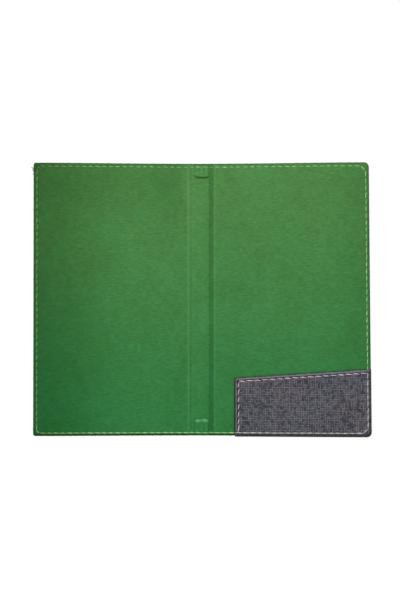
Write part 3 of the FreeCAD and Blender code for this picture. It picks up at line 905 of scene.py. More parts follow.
@dataclass(frozen=True)
class Pattern:
    """The steps that most finishes take, each adding a node and giving its result."""

    tree: bpy.types.NodeTree

    def place(self) -> bpy.types.NodeSocket:
        """Where a point of the piece is at rest, in metres."""
        return add(self.tree, "ShaderNodeAttribute", attribute_name=PLACE).outputs["Vector"]

    def tone(self) -> bpy.types.NodeSocket:
        """How light the piece is at a point."""
        return add(self.tree, "ShaderNodeAttribute", attribute_name=TONE).outputs["Fac"]

    def maths(self, operation: str, *values: object) -> bpy.types.NodeSocket:
        """Numbers or sockets put together by one operation."""
        inputs = dict(enumerate(values))
        return add(self.tree, "ShaderNodeMath", inputs, operation=operation).outputs[0]

    def vectors(self, operation: str, *values: object) -> bpy.types.NodeSocket:
        """Vectors put together by one operation."""
        inputs = dict(enumerate(values))
        return add(self.tree, "ShaderNodeVectorMath", inputs, operation=operation).outputs[0]

    def noise(
        self, place: bpy.types.NodeSocket, scale: float, detail: float,
        roughness: float = 0.5, distortion: float = 0.0,
    ) -> bpy.types.Node:
        """Adds soft noise.

        Args:
            place: where it is looked up.
            scale: how often it repeats in a unit of the place.
            detail: how many finer layers it has.
            roughness: how strong those are.
            distortion: how far they are drawn out of line.

        Returns:
            The node.
        """
        inputs = {
            "Vector": place, "Scale": scale, "Detail": detail,
            "Roughness": roughness, "Distortion": distortion,
        }
        return add(self.tree, "ShaderNodeTexNoise", inputs)

    def ranged(
        self, value: bpy.types.NodeSocket, span: tuple[float, float],
        ends: tuple[float, float] = (0.0, 1.0), kind: str = "LINEAR",
    ) -> bpy.types.NodeSocket:
        """Stretches a span of values to another one, and stops at its ends.

        Args:
            value: the value.
            span: the span that is stretched.
            ends: what its ends become.
            kind: how the value runs between them.

        Returns:
            The new value.
        """
        inputs = {
            "Value": value, "From Min": span[0], "From Max": span[1],
            "To Min": ends[0], "To Max": ends[1],
        }
        node = add(self.tree, "ShaderNodeMapRange", inputs, interpolation_type=kind)
        return node.outputs["Result"]

    def mixed(self, share: object, low: object, high: object) -> bpy.types.NodeSocket:
        """A number between two others."""
        inputs = {0: share, 2: low, 3: high}
        return add(self.tree, "ShaderNodeMix", inputs, data_type="FLOAT").outputs[0]

    def colours(
        self, share: object, low: object, high: object, blend: str = "MIX"
    ) -> bpy.types.NodeSocket:
        """Puts two colours together.

        Args:
            share: how much of the second one is used.
            low: the first colour, as sRGB hex or a socket.
            high: the second one.
            blend: the way that they are put together.

        Returns:
            The colour.
        """
        first, second = (linear(side) if isinstance(side, str) else side for side in (low, high))
        inputs = {0: share, 6: first, 7: second}
        node = add(self.tree, "ShaderNodeMix", inputs, data_type="RGBA", blend_type=blend)
        return node.outputs[2]

    def surface(
        self, colour: bpy.types.NodeSocket, height: bpy.types.NodeSocket, relief: Relief,
        **shading: object,
    ) -> None:
        """Adds the shader and shows it.

        Args:
            colour: its colour.
            height: the height of its relief.
            relief: how the relief shows.
            shading: its other inputs, with _ for blanks.
        """
        bump = add(
            self.tree, "ShaderNodeBump",
            {"Strength": relief.strength, "Distance": relief.distance * MM, "Height": height},
        )
        inputs = {"Base Color": colour, "Normal": bump.outputs[0]}
        inputs.update({name.replace("_", " "): value for name, value in shading.items()})
        shader = add(self.tree, "ShaderNodeBsdfPrincipled", inputs)
        add(self.tree, "ShaderNodeOutputMaterial", {"Surface": shader.outputs[0]})


@dataclass(frozen=True)
class BrushedLeather:
    """Imitation leather: polyurethane on a knit, brushed to a short matt nap.

    Brushing leaves fine streaks across the cover and soft clouds where the nap lies
    over. The colour drifts slowly from a yellower, lighter head to a bluer, darker tail,
    which is painted light, and high tones turn it towards a pale painted highlight. A
    pair of numbers that changes a pattern's value is what it is multiplied by and what is added
    then.
    """

    name: str = "polyurethane leather, brushed"
    # painted light: the head's colour is lighter and yellower, the tail's darker and bluer
    head: str = "#4B8546"
    tail: str = "#2F7A41"
    painted_light_drift: tuple[float, float] = (-82.0, 75.0)
    # painted highlight: high tones turn the colour towards this pale green
    painted_highlight: str = "#7DBB86"
    leather_highlight_tones: tuple[float, float] = (1.12, 2.0)
    sheen: str = "#8FC97E"
    streak_length: float = 2.6
    streak_width: float = 0.85  # the real streaks are finer; this shows at arm's length
    streak_depth: float = 10.0
    cloud: float = 4.6
    patch: float = 23.0
    nap: float = 0.45
    streak_share: float = 0.42
    cloud_share: float = 0.2
    patch_share: float = 0.13
    hue: tuple[float, float] = (0.02, 0.4905)
    saturation: tuple[float, float] = (-0.15, 1.15)  # the green is deeper where the painted shade darkens the lining
    roughness: tuple[float, float] = (0.2, 0.55)
    streak_height: float = 0.6
    relief: Relief = Relief(0.5, 0.06)

    def make(self) -> bpy.types.Material:
        """Builds the material."""
        material, tree = new_material(self.name)
        pattern = Pattern(tree)
        place, tone = pattern.place(), pattern.tone()
        stretch = (per(self.streak_length), per(self.streak_width), per(self.streak_depth))
        drawn = pattern.vectors("MULTIPLY", place, stretch)
        streaks = pattern.noise(drawn, 1.0, 3.0, 0.6, 0.3).outputs["Fac"]
        clouds = pattern.noise(place, per(self.cloud), 4.0, 0.6).outputs["Fac"]
        patches = pattern.noise(place, per(self.patch), 2.0).outputs["Fac"]
        nap = pattern.noise(place, per(self.nap), 2.0, 0.7).outputs["Fac"]
        # painted light: the green runs from the tail's colour to the head's
        along = add(tree, "ShaderNodeSeparateXYZ", {0: place}).outputs["Y"]
        ends = (self.painted_light_drift[0] * MM, self.painted_light_drift[1] * MM)
        painted_light_drift = pattern.ranged(along, ends, kind="SMOOTHSTEP")
        green = pattern.colours(painted_light_drift, self.tail, self.head)
        light = tone
        for part, share in (
            (streaks, self.streak_share), (clouds, self.cloud_share), (patches, self.patch_share)
        ):
            gain = pattern.maths("MULTIPLY_ADD", part, 2.0 * share, 1.0 - share)
            light = pattern.maths("MULTIPLY", light, gain)
        toned = add(
            tree, "ShaderNodeHueSaturation",
            {
                "Hue": pattern.maths("MULTIPLY_ADD", patches, *self.hue),
                "Saturation": pattern.maths("MULTIPLY_ADD", tone, *self.saturation),
                "Value": light, "Color": green,
            },
        ).outputs[0]
        # painted highlight where the tone is high
        highlight_share = pattern.ranged(tone, self.leather_highlight_tones)
        pattern.surface(
            pattern.colours(highlight_share, toned, self.painted_highlight),
            pattern.maths("MULTIPLY_ADD", streaks, self.streak_height, nap),
            self.relief,
            Roughness=pattern.maths("MULTIPLY_ADD", clouds, *self.roughness),
            IOR=1.5, Specular_IOR_Level=0.12,
            Sheen_Weight=0.02, Sheen_Roughness=0.4, Sheen_Tint=linear(self.sheen),
        )
        return material


@dataclass(frozen=True)
class LeatherEdge:
    """The cut edge of the lining: its knit backing, darker and duller than its face."""

    name: str = "polyurethane leather, cut edge"
    dark: str = "#26462B"
    pale: str = "#3D6A3F"
    fibre: float = 0.5
    relief: Relief = Relief(0.6, 0.08)

    def make(self) -> bpy.types.Material:
        """Builds the material."""
        material, tree = new_material(self.name)
        pattern = Pattern(tree)
        fibres = pattern.noise(pattern.place(), per(self.fibre), 3.0).outputs["Fac"]
        colour = pattern.colours(fibres, self.dark, self.pale)
        pattern.surface(colour, fibres, self.relief, Roughness=0.85, Specular_IOR_Level=0.25)
        return material


@dataclass(frozen=True)
class MelangeWeave:
    """Plain-woven polyester of dark and pale grey yarns with thick and thin places.

    Each yarn has its own shade, and pale slubs come and go along it, so that the
    cloth reads as a broken crosshatch of pale dashes on charcoal.
    """

    name: str = "melange polyester, plain woven"
    dark: str = "#151519"
    pale: str = "#818189"
    warm: str = "#FFF1F9"  # the dye drifts between these over a few centimetres
    cool: str = "#ECF2FF"
    dye: float = 26.0
    dye_span: tuple[float, float] = (0.35, 0.65)
    yarn: float = 0.97  # the real yarns are about 0.4; these show at arm's length
    wander: float = 0.4  # how far the yarns run out of line
    wander_size: float = 9.0
    slub: float = 3.0
    slub_span: tuple[float, float] = (0.39, 0.6)
    yarn_spread: float = 7.31  # keeps the shades of neighbouring yarns apart
    warp_seed: float = 3.7
    weft_seed: float = 19.3
    hidden: float = 0.45  # how much of a yarn's paleness its crossings take away
    thinness: float = 3.3
    fibre: float = 0.5
    fibre_share: float = 0.3
    # painted highlight: high tones turn the yarns paler
    weave_highlight_tones: tuple[float, float] = (1.05, 1.5)
    weave_highlight_share: float = 0.62
    depth: tuple[float, float] = (0.3, 0.76)  # painted shade between the yarns: of the yarns' rounding, and without it
    slub_height: float = 0.8
    relief: Relief = Relief(0.55, 0.14)

    def yarns(
        self, pattern: Pattern, across: bpy.types.NodeSocket, along: bpy.types.NodeSocket,
        seed: float,
    ) -> tuple[bpy.types.NodeSocket, bpy.types.NodeSocket, bpy.types.NodeSocket]:
        """One set of parallel yarns.

        Args:
            pattern: what the steps are added to.
            across: the coordinate that counts the yarns.
            along: the coordinate that runs down them, in yarns.
            seed: keeps the two sets apart.

        Returns:
            The yarn's number, its round profile and how pale it is.
        """
        number = pattern.maths("FLOOR", across)
        turn = pattern.maths("MULTIPLY", pattern.maths("FRACT", across), math.pi)
        profile = pattern.maths("SINE", turn)
        spread = pattern.maths("MULTIPLY", number, self.yarn_spread)
        slow = pattern.maths("MULTIPLY", along, self.yarn / self.slub)
        point = add(pattern.tree, "ShaderNodeCombineXYZ", {0: spread, 1: slow, 2: seed})
        shade = pattern.noise(point.outputs[0], 1.0, 1.0).outputs["Fac"]
        slubs = pattern.ranged(shade, self.slub_span)
        thin = pattern.maths("POWER", profile, self.thinness)
        return number, profile, pattern.maths("MULTIPLY", slubs, thin)

    def make(self) -> bpy.types.Material:
        """Builds the material."""
        material, tree = new_material(self.name)
        pattern = Pattern(tree)
        place, tone = pattern.place(), pattern.tone()
        wander = pattern.noise(place, per(self.wander_size), 1.0).outputs["Color"]
        shift = pattern.vectors("MULTIPLY", wander, (self.wander * MM,) * 3)
        counted = pattern.vectors(
            "MULTIPLY", pattern.vectors("ADD", place, shift), (per(self.yarn),) * 3
        )
        parts = add(tree, "ShaderNodeSeparateXYZ", {0: counted}).outputs
        warp, warp_round, warp_shade = self.yarns(pattern, parts["X"], parts["Y"], self.warp_seed)
        weft, weft_round, weft_shade = self.yarns(pattern, parts["Y"], parts["X"], self.weft_seed)
        warp_over = pattern.maths("FLOORED_MODULO", pattern.maths("ADD", warp, weft), 2.0)
        seen, whole = 1.0 - self.hidden, (0.0, 1.0)
        warp_seen = pattern.ranged(warp_over, whole, (seen, 1.0))
        weft_seen = pattern.ranged(warp_over, whole, (1.0, seen))
        warp_pale = pattern.maths("MULTIPLY", warp_shade, warp_seen)
        weft_pale = pattern.maths("MULTIPLY", weft_shade, weft_seen)
        shade = pattern.maths("MAXIMUM", warp_pale, weft_pale)
        height = pattern.mixed(warp_over, weft_round, warp_round)
        fibres = pattern.noise(place, per(self.fibre), 2.0).outputs["Fac"]
        fuzzy = pattern.maths("MULTIPLY_ADD", fibres, self.fibre_share, shade)
        highlight_share = pattern.ranged(tone, self.weave_highlight_tones)
        yarns = pattern.colours(
            pattern.mixed(highlight_share, fuzzy, self.weave_highlight_share), self.dark, self.pale
        )
        # painted shade between the yarns
        depth = pattern.maths("MULTIPLY_ADD", height, *self.depth)
        patches = pattern.noise(place, per(self.dye), 1.0).outputs["Fac"]
        dye = pattern.colours(pattern.ranged(patches, self.dye_span), self.warm, self.cool)
        shown = pattern.colours(1.0, yarns, dye, "MULTIPLY")
        light = pattern.maths("MULTIPLY", depth, tone)
        colour = add(tree, "ShaderNodeHueSaturation", {"Value": light, "Color": shown})
        pattern.surface(
            colour.outputs[0],
            pattern.maths("MULTIPLY_ADD", shade, self.slub_height, height),
            self.relief,
            Roughness=0.82, IOR=1.5, Specular_IOR_Level=0.3,
            Sheen_Weight=0.08, Sheen_Roughness=0.5,
        )
        return material


@dataclass(frozen=True)
class SpunThread:
    """Spun polyester sewing thread: matt, with short fibres and two plies of slightly
    different shade."""

    name: str
    dark: str
    pale: str
    fibre: float = 0.25
    stitch: float = 2.6  # the shade also changes over this length
    shades: tuple[float, float] = (0.7, 1.3)
    relief: Relief = Relief(0.5, 0.05)

    def make(self) -> bpy.types.Material:
        """Builds the material."""
        material, tree = new_material(self.name)
        pattern = Pattern(tree)
        place = pattern.place()
        fibres = pattern.noise(place, per(self.fibre), 2.0).outputs["Fac"]
        stitches = pattern.noise(place, per(self.stitch), 1.0).outputs["Fac"]
        share = pattern.ranged(pattern.maths("ADD", fibres, stitches), self.shades)
        colour = pattern.colours(share, self.dark, self.pale)
        toned = add(tree, "ShaderNodeHueSaturation", {"Value": pattern.tone(), "Color": colour})
        pattern.surface(
            toned.outputs[0], fibres, self.relief, Roughness=0.75, Specular_IOR_Level=0.2
        )
        return material


@dataclass(frozen=True)
class PressedBoard:
    """Greyboard: pulped waste paper pressed flat, with dark specks and pale fibres."""

    name: str = "greyboard, pressed"
    dark: str = "#7C776E"
    pale: str = "#A8A297"
    pulp: float = 1.6
    speck: float = 2.2
    speck_size: float = 0.12  # as a share of the distance between two specks
    relief: Relief = Relief(0.4, 0.05)

    def make(self) -> bpy.types.Material:
        """Builds the material."""
        material, tree = new_material(self.name)
        pattern = Pattern(tree)
        place = pattern.place()
        pulp = pattern.noise(place, per(self.pulp), 5.0).outputs["Fac"]
        cells = add(tree, "ShaderNodeTexVoronoi", {"Vector": place, "Scale": per(self.speck)})
        clean = pattern.maths("GREATER_THAN", cells.outputs["Distance"], self.speck_size)
        colour = pattern.colours(pattern.maths("MULTIPLY", pulp, clean), self.dark, self.pale)
        pattern.surface(colour, pulp, self.relief, Roughness=0.9, Specular_IOR_Level=0.2)
        return material


@dataclass(frozen=True)
class Finishes:
    """The finishes of the cover, made once and shared by its pieces."""

    leather: bpy.types.Material
    leather_edge: bpy.types.Material
    weave: bpy.types.Material
    board: bpy.types.Material
    sage_thread: bpy.types.Material
    grey_thread: bpy.types.Material
    rose_thread: bpy.types.Material
    dark_yarn: bpy.types.Material

    @classmethod
    def make(cls) -> "Finishes":
        """Builds every material."""
        return cls(
            leather=BrushedLeather().make(),
            leather_edge=LeatherEdge().make(),
            weave=MelangeWeave().make(),
            board=PressedBoard().make(),
            sage_thread=SpunThread("spun polyester thread, sage", "#74B06B", "#B0E09C").make(),
            grey_thread=SpunThread("spun polyester thread, grey", "#9DA0A4", "#D2D6DA").make(),
            rose_thread=SpunThread(
                "spun polyester thread, rose grey", "#B0A4AF", "#E2D6E0"
            ).make(),
            dark_yarn=SpunThread("melange polyester, frayed yarn", "#1C1C20", "#3C3C42").make(),
        )


# ------------------------------------------------------------------ sub-assemblies


def rim(level: Array) -> Array:
    """1 on the line round a sheet's rim, and 0 on its two faces."""
    return ((level > 0.1) & (level < 0.9)).astype(float)


@dataclass(frozen=True)
class LiningPaintedLight:
    """Painted light and shade on the lining: painted shade towards the fore edges, in the back's
    crease, along the cut edge and beside the pocket and the tabs, and painted highlights on the
    ridges beside the creases.

    Ramps run from the spine towards a fore edge, or from the middle to the head.
    """

    form: CoverForm
    plan: SeamPlan
    # painted shade: darker towards each fore edge, on the front's inner half towards the head, at
    # the front's head end and at its head corner
    front: Ramp = Ramp(30.0, 75.0)
    front_painted_shade: float = 0.46
    back: Ramp = Ramp(62.0, 36.0)
    back_painted_shade: float = 0.14
    inner_shade_ramps: tuple[Ramp, Ramp, Ramp] = (Ramp(7.0, 8.0), Ramp(-45.0, 25.0), Ramp(0.0, 62.0))
    inner_painted_shade: float = 0.07  # on the front's inner half
    head: tuple[Ramp, Ramp] = (Ramp(6.0, 10.0), Ramp(38.0, 30.0))
    head_painted_shade: float = 0.12
    corner: Band = Band(0.0, 4.5, 0.25)
    thread_lift_run: Ramp = Ramp(84.0, 8.0)
    thread_lift_share: float = 0.3
    # painted shade in the back's crease, and painted highlights on the ridges beside the creases
    # and on the spine strip's left half
    bands: tuple[tuple[int, Band], ...] = (  # beside the front's crease, the back's or neither
        (1, Band(-0.2, 1.15, -0.2)),
        (1, Band(1.85, 0.62, 0.15)),
        (-1, Band(-1.83, 0.72, 0.19)),
        (-1, Band(0.8, 0.7, 0.08)),
        (0, Band(-1.6, 3.2, 0.05)),
    )
    # painted shade along the lining's cut edge, which rolls down away from the light, strongest at
    # the tail
    edge: Ramp = Ramp(0.3, 0.7)
    edge_painted_shade: float = 0.5
    tail_edge: Ramp = Ramp(0.6, 0.8)
    tail_edge_painted_shade: float = 0.7
    tail_edge_zone: float = 4.0
    # painted shadow where the pocket's side and the tabs' free ends stand over the lining
    pocket_painted_shadow: float = 0.75
    pocket_shadow_reach: Ramp = Ramp(0.0, 1.25)
    mouth_shadow_cut: float = 0.6  # less painted shadow above the pocket's mouth
    mouth_shadow_cut_run: Ramp = Ramp(0.0, 0.5)
    tab_painted_shadow: tuple[tuple[int, float], ...] = ((1, 0.5), (-1, 0.14))
    tab_before: Ramp = Ramp(0.0, 1.6)
    tab_past: Ramp = Ramp(0.0, 0.8)
    tab_beside: Ramp = Ramp(0.0, 0.6)

    def painted_shade_falloff(self, x: Array, y: Array) -> Array:
        """The painted shade over the covers, darkest at the front's fore edge.

        Args:
            x: places across the cover.
            y: places along it.

        Returns:
            The tone at each place, 1 where nothing has darkened it.
        """
        layout = self.form.layout
        tone = 1.0 - self.front_painted_shade * self.front.up(-x) - self.back_painted_shade * self.back.up(x)
        near, far, headward = self.inner_shade_ramps
        tone *= 1.0 - self.inner_painted_shade * near.up(-x) * far.up(x) * headward.up(y)
        outward, headward = self.head
        tone *= 1.0 - self.head_painted_shade * outward.up(-x) * headward.up(y)
        from_corner = np.hypot(x + layout.fore_edge, y - layout.half_height)
        return tone * (1.0 - self.corner.at(from_corner))

    def thread(self, x: Array, y: Array) -> Array:
        """How light the edge seam's thread is: it takes the covers' painted shade, and is lighter
        along the back's fore edge.
        """
        return self.painted_shade_falloff(x, y) * (1.0 + self.thread_lift_share * self.thread_lift_run.up(x))

    def lining(self, x: Array, y: Array) -> Array:
        """How light the lining is, with painted shade in the back's crease, along the cut edge and
        beside the pocket and the tabs, and painted highlights on the ridges beside the creases.

        Args:
            x: places across the cover.
            y: places along it.

        Returns:
            The tone at each place.
        """
        layout = self.form.layout
        inside = self.form.edge_distance(x, y)
        tone = self.painted_shade_falloff(x, y)
        for side, band in self.bands:
            tone *= 1.0 + band.at(x - side * layout.crease)
        # painted shade along the cut edge
        tone *= 1.0 - np.where(
            y < self.tail_edge_zone - layout.half_height,
            self.tail_edge_painted_shade * self.tail_edge.down(inside),
            self.edge_painted_shade * self.edge.down(inside),
        )
        return tone * (1.0 - self.painted_contact_shadow(x, y))

    def painted_contact_shadow(self, x: Array, y: Array) -> Array:
        """The painted shadow beside the pocket's sewn side and under the tabs' free ends.

        Args:
            x: places across the cover.
            y: places along it.

        Returns:
            How much darker each place is.
        """
        form, plan, pocket_left = self.form, self.plan, self.form.layout.pocket_left
        above = (y - plan.mouth(np.maximum(x, pocket_left))) * plan.mouth_lean()
        beside = np.hypot(np.maximum(pocket_left - x, 0.0), np.maximum(above, 0.0))
        painted_contact_shadow = self.pocket_painted_shadow - self.mouth_shadow_cut * self.mouth_shadow_cut_run.up(above)
        painted_contact_shadow *= self.pocket_shadow_reach.down(beside)
        over_x = np.maximum(np.abs(x) - form.tab_half, 0.0)
        for end, dark in self.tab_painted_shadow:
            past = end * y - form.tab_edge(end, x)
            near = self.tab_before.down(np.maximum(-past, 0.0)) * self.tab_beside.down(over_x)
            painted_contact_shadow = np.maximum(painted_contact_shadow, dark * near * self.tab_past.down(past))
        return painted_contact_shadow


@dataclass(frozen=True)
class CoverHalf:
    """The layers of one cover with its half of the spine, and the seam round them.

    The two halves meet in the middle of the spine, where each is cut square.
    """

    side: Side
    form: CoverForm
    plan: SeamPlan
    finishes: Finishes
    lining_thick: float = 0.6
    thinnest: float = 0.18  # where the seam crosses a crease
    lining_inset: float = 0.07  # the pressed edge has crept almost to the shell's
    lining_bulge: float = 0.04
    spine_step: float = 0.6
    crease_step: float = 0.19
    crease_zone: tuple[float, float] = (1.9, 3.4)  # inwards and outwards from the crease
    panel_step: float = 0.72
    edge_step: float = 0.26
    edge_zone: float = 4.6
    outer_crease: Band = Band(0.0, 0.8, 0.1)  # the line pressed into the shell's outside
    outer_round: float = 0.12
    outer_round_run: Ramp = Ramp(0.0, 0.8)
    inner_round: float = 0.05
    inner_round_run: Ramp = Ramp(0.0, 0.6)
    ragged: Band = Band(0.0, 0.3, 0.02)
    ragged_zone: float = 3.0
    ragged_turns: tuple[tuple[float, float], ...] = ((3.1, 1.7), (1.3, -4.3))
    shell_edge_run: Ramp = Ramp(0.1, 0.5)
    shell_edge_dark: float = 0.5
    outside_bed: float = 0.25  # the height of the thread's groove in the outside

    def name(self) -> str:
        """The cover's name in its pieces' names."""
        return self.side.name.lower()

    def bodies(self) -> tuple[str, str]:
        """The bodies on either side of this half's crease, the cover's own first."""
        return f"{self.name()}_cover", "spine"

    def grid(self, name: str, inset: float) -> SheetMesh:
        """The grid of a layer, fine at its edges and at the crease.

        Args:
            name: the layer's name.
            inset: how far inside the outline the layer's edge runs.

        Returns:
            The sheet, not yet shaped.
        """
        layout, zone = self.form.layout, self.edge_zone
        fore, half = layout.fore_edge - inset, layout.half_height - inset
        inner, outer = layout.crease - self.crease_zone[0], layout.crease + self.crease_zone[1]
        across = lines(
            (0.0, inner, self.spine_step),
            (inner, outer, self.crease_step),
            (outer, fore - zone, self.panel_step),
            (fore - zone, fore, self.edge_step),
        )
        along = lines(
            (-half, zone - half, self.edge_step),
            (zone - half, half - zone, self.panel_step),
            (half - zone, half, self.edge_step),
        )
        if self.side is Side.FRONT:
            across = -across[::-1]
        return SheetMesh(name, across, along)

    def bend(self, piece: bpy.types.Object) -> None:
        """Bakes a piece's place into its mesh, and works out where this half's crease starts and
        ends.
        """
        centre = self.side.value * self.form.layout.crease * MM
        zone = self.side.value * self.form.crease(self.side).zone * MM
        height = self.form.layout.shell_top * MM
        cover, spine = self.bodies()
        start, end = (centre + zone, 0.0, height), (centre - zone, 0.0, height)
        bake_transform(piece)
        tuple(start)
        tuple(end)

    def build_lining(self) -> bpy.types.Object:
        """The lining, pressed down along the seam and at the crease."""
        form, layout, inset = self.form, self.form.layout, self.lining_inset
        seam, lining_light = Seam(self.plan.edge(self.side)), LiningPaintedLight(form, self.plan)

        def shape(x: Array, y: Array, level: Array) -> Array:
            """Places the lining's points."""
            x, y = form.rounded(x, y, inset)
            low = form.lining_back(x, y, self.lining_thick)
            top = np.maximum(form.lining(x, y) - seam.press(x, y), low + self.thinnest)
            wider = 1.0 + self.lining_bulge * rim(level) / layout.fore_edge
            return form.settle(x * wider, y, low + (top - low) * level)

        def tone(x: Array, y: Array) -> Array:
            """Tones the lining where its points come to lie."""
            return lining_light.lining(*form.rounded(x, y, inset))

        sheet = self.grid(f"lining_{self.name()}_half", inset)
        mesh = sheet.build(shape, tone, seams_cut=[0.0])
        piece = put_in_scene(
            sheet.name, mesh, [self.finishes.leather, self.finishes.leather_edge]
        )
        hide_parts(f"lining_{self.name()}", f"lining_{self.name()}_crease", "lining_spine")
        self.bend(piece)
        return piece

    def frayed(self, x: Array, y: Array) -> Array:
        """How far the shell's cut edge stands out of line.

        Args:
            x: places across the cover.
            y: places along it.

        Returns:
            The distance outwards at each place, nothing inside the edge.
        """
        waves = sum(np.sin(x * turn_x + y * turn_y) for turn_x, turn_y in self.ragged_turns)
        return waves * self.ragged.at(self.form.edge_distance(x, y))

    def build_shell(self) -> bpy.types.Object:
        """The woven shell, with the seam's groove and a pressed line on its outside."""
        form, layout = self.form, self.form.layout
        seam = Seam(self.plan.edge(self.side), depth=0.16, hole_depth=0.14, pucker=0.0)
        centre = self.side.value * layout.crease

        def shape(x: Array, y: Array, level: Array) -> Array:
            """Places the shell's points."""
            x, y = form.rounded(x, y, 0.0)
            inside = form.edge_distance(x, y)
            low = seam.press(x, y) + self.outer_crease.at(x - centre)
            low += self.outer_round * self.outer_round_run.down(inside)
            top = layout.shell_top - self.inner_round * self.inner_round_run.down(inside)
            frayed = self.frayed(x, y)
            at_fore = np.abs(x) > layout.fore_edge - self.ragged_zone
            at_end = np.abs(y) > layout.half_height - self.ragged_zone
            out_x = np.where(at_fore, np.sign(x) * frayed, 0.0)
            out_y = np.where(at_end, np.sign(y) * frayed, 0.0)
            return form.settle(x + out_x, y + out_y, low + (top - low) * level)

        def tone(x: Array, y: Array) -> Array:
            """Darkens the shell towards its cut edge."""
            inside = form.edge_distance(*form.rounded(x, y, 0.0))
            return 1.0 - self.shell_edge_dark * self.shell_edge_run.down(inside)

        sheet = self.grid(f"shell_{self.name()}_half", 0.0)
        mesh = sheet.build(shape, tone, seams_cut=[0.0])
        piece = put_in_scene(sheet.name, mesh, [self.finishes.weave, self.finishes.weave])
        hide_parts(f"outer_{self.name()}", f"outer_{self.name()}_crease", "outer_spine")
        self.bend(piece)
        return piece

    def build_thread(self, face: Face) -> bpy.types.Object:
        """The seam's thread on one face.

        Args:
            face: the inside, where the thread stands proud, or the outside, where it
                lies flush in its groove.

        Returns:
            The piece.
        """
        holes, where = self.plan.edge(self.side), face.name.lower()
        name = f"edge_thread_{self.name()}_{where}"
        if face is Face.INSIDE:
            lining_light, seed = LiningPaintedLight(self.form, self.plan), 21 + self.side.value
            row = StitchRow(holes, self.form.seam_bed, tone=lining_light.thread, seed=seed)
            mesh = row.build(name, self.form, lambda place: not self.plan.on_pocket(place))
            finish = self.finishes.sage_thread
        else:
            row = StitchRow(
                holes, lambda x, y: np.full(x.shape, self.outside_bed), face,
                gap=0.9, flatten=0.42, sink=0.0, seed=31 + self.side.value,
            )
            mesh = row.build(name, self.form)
            finish = self.finishes.grey_thread
        piece = put_in_scene(name, mesh, [finish])
        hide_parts(f"edge_stitches_{self.name()}_{where}", f"edge_stitches_spine_{where}")
        self.bend(piece)
        return piece

    def build_yarn_ends(self) -> bpy.types.Object:
        """Short yarn ends that have frayed out of the shell's cut edge."""
        fringe = YarnEnds(self.side, self.form).build()
        piece = put_in_scene(f"frayed_yarn_{self.name()}", fringe, [self.finishes.dark_yarn])
        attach(piece, self.bodies()[0])
        return piece

    def build(self, tabs: Sequence[bpy.types.Object] = ()) -> None:
        """Builds the half's pieces.

        Args:
            tabs: the tabs that are sewn to this half's lining; not used.
        """
        lining, shell = self.build_lining(), self.build_shell()
        inner_thread, outer_thread = (self.build_thread(face) for face in Face)
        ends = self.build_yarn_ends()
        f"board_{self.name()}"


@dataclass(frozen=True)
class YarnEnd:
    """One frayed yarn end: where it leaves the edge, and how it runs from there."""

    x: float
    y: float
    way: float  # where it points, in radians
    length: float
    bend: float  # how far it turns aside, as a share of its length


@dataclass(frozen=True)
class YarnEnds:
    """Frayed yarn ends along a cover's edges, longest at its head corner."""

    side: Side
    form: CoverForm
    spacing: float = 6.5
    spacing_spread: float = 0.4
    margin: float = 4.0
    shortest: float = 0.32
    length_spread: float = 0.22
    way_spread: float = 0.9
    bend_spread: float = 0.2
    rise: float = 0.12
    hidden: float = 0.25  # the part of its length that an end lies under the edge
    radius: float = 0.11
    tuft_length: float = 0.6  # longer ends are tufts of several fibres
    tuft: float = 3.2
    seed: int = 5

    def corner_tufts(self) -> list[YarnEnd]:
        """The long ends at the front's head corner."""
        fore, half = -self.form.layout.fore_edge, self.form.layout.half_height
        return [
            YarnEnd(fore + 0.2, half - 3.4, math.pi * 0.80, 1.6, 0.2),
            YarnEnd(fore + 0.2, half - 4.9, math.pi * 0.76, 1.35, -0.2),
            YarnEnd(fore + 0.2, half - 6.2, math.pi * 1.10, 0.75, 0.3),
            YarnEnd(fore + 0.6, half - 0.6, math.pi * 0.72, 0.5, 0.3),
        ]

    def ends(self) -> list[YarnEnd]:
        """Chooses the ends along the fore edge, the tail and the head."""
        layout, rng = self.form.layout, np.random.default_rng(self.seed + self.side.value)
        fore, half, sign = layout.fore_edge, layout.half_height, self.side.value
        outward = 0.0 if sign > 0 else math.pi
        places = [
            (sign * fore, y, outward)
            for y in np.arange(-half + self.margin, half - self.margin, self.spacing)
        ]
        for end in (-1.0, 1.0):
            for x in np.arange(layout.crease + 3.0, fore - self.margin, self.spacing):
                places.append((sign * x, end * half, end * math.pi / 2.0))
        found = []
        for x, y, way in places:
            chance = rng.uniform(-1.0, 1.0, 4)
            shift = self.spacing * self.spacing_spread * chance[1]
            x, y = (x + shift, y) if abs(y) == half else (x, y + shift)
            length = self.shortest + self.length_spread * abs(chance[0]) ** 3
            way = way + self.way_spread * chance[2]
            found.append(YarnEnd(x, y, way, length, self.bend_spread * chance[3]))
        return found + (self.corner_tufts() if self.side is Side.FRONT else [])

    def build(self) -> bpy.types.Mesh:
        """Lays every yarn end, a bent and tapered bar of a few faces."""
        bar, unit = Bar(sides=5, cuts=2, tip=0.5, soft=False).build()
        t = unit[:, 2] + 0.5
        middle = self.form.layout.shell_top * 0.5
        laid = []
        for end in self.ends():
            ahead = np.array([math.cos(end.way), math.sin(end.way)])
            run = (t * (1.0 + self.hidden) - self.hidden) * end.length
            radius = self.radius * (1.0 if end.length < self.tuft_length else self.tuft)
            off = unit[:, 0] * radius + end.bend * t**2 * end.length
            x = end.x + ahead[0] * run - ahead[1] * off
            y = end.y + ahead[1] * run + ahead[0] * off
            z = middle + unit[:, 1] * radius + self.rise * t * end.length
            laid.append(self.form.settle(x, y, z))
        return join_copies("yarn_ends", bar, laid)


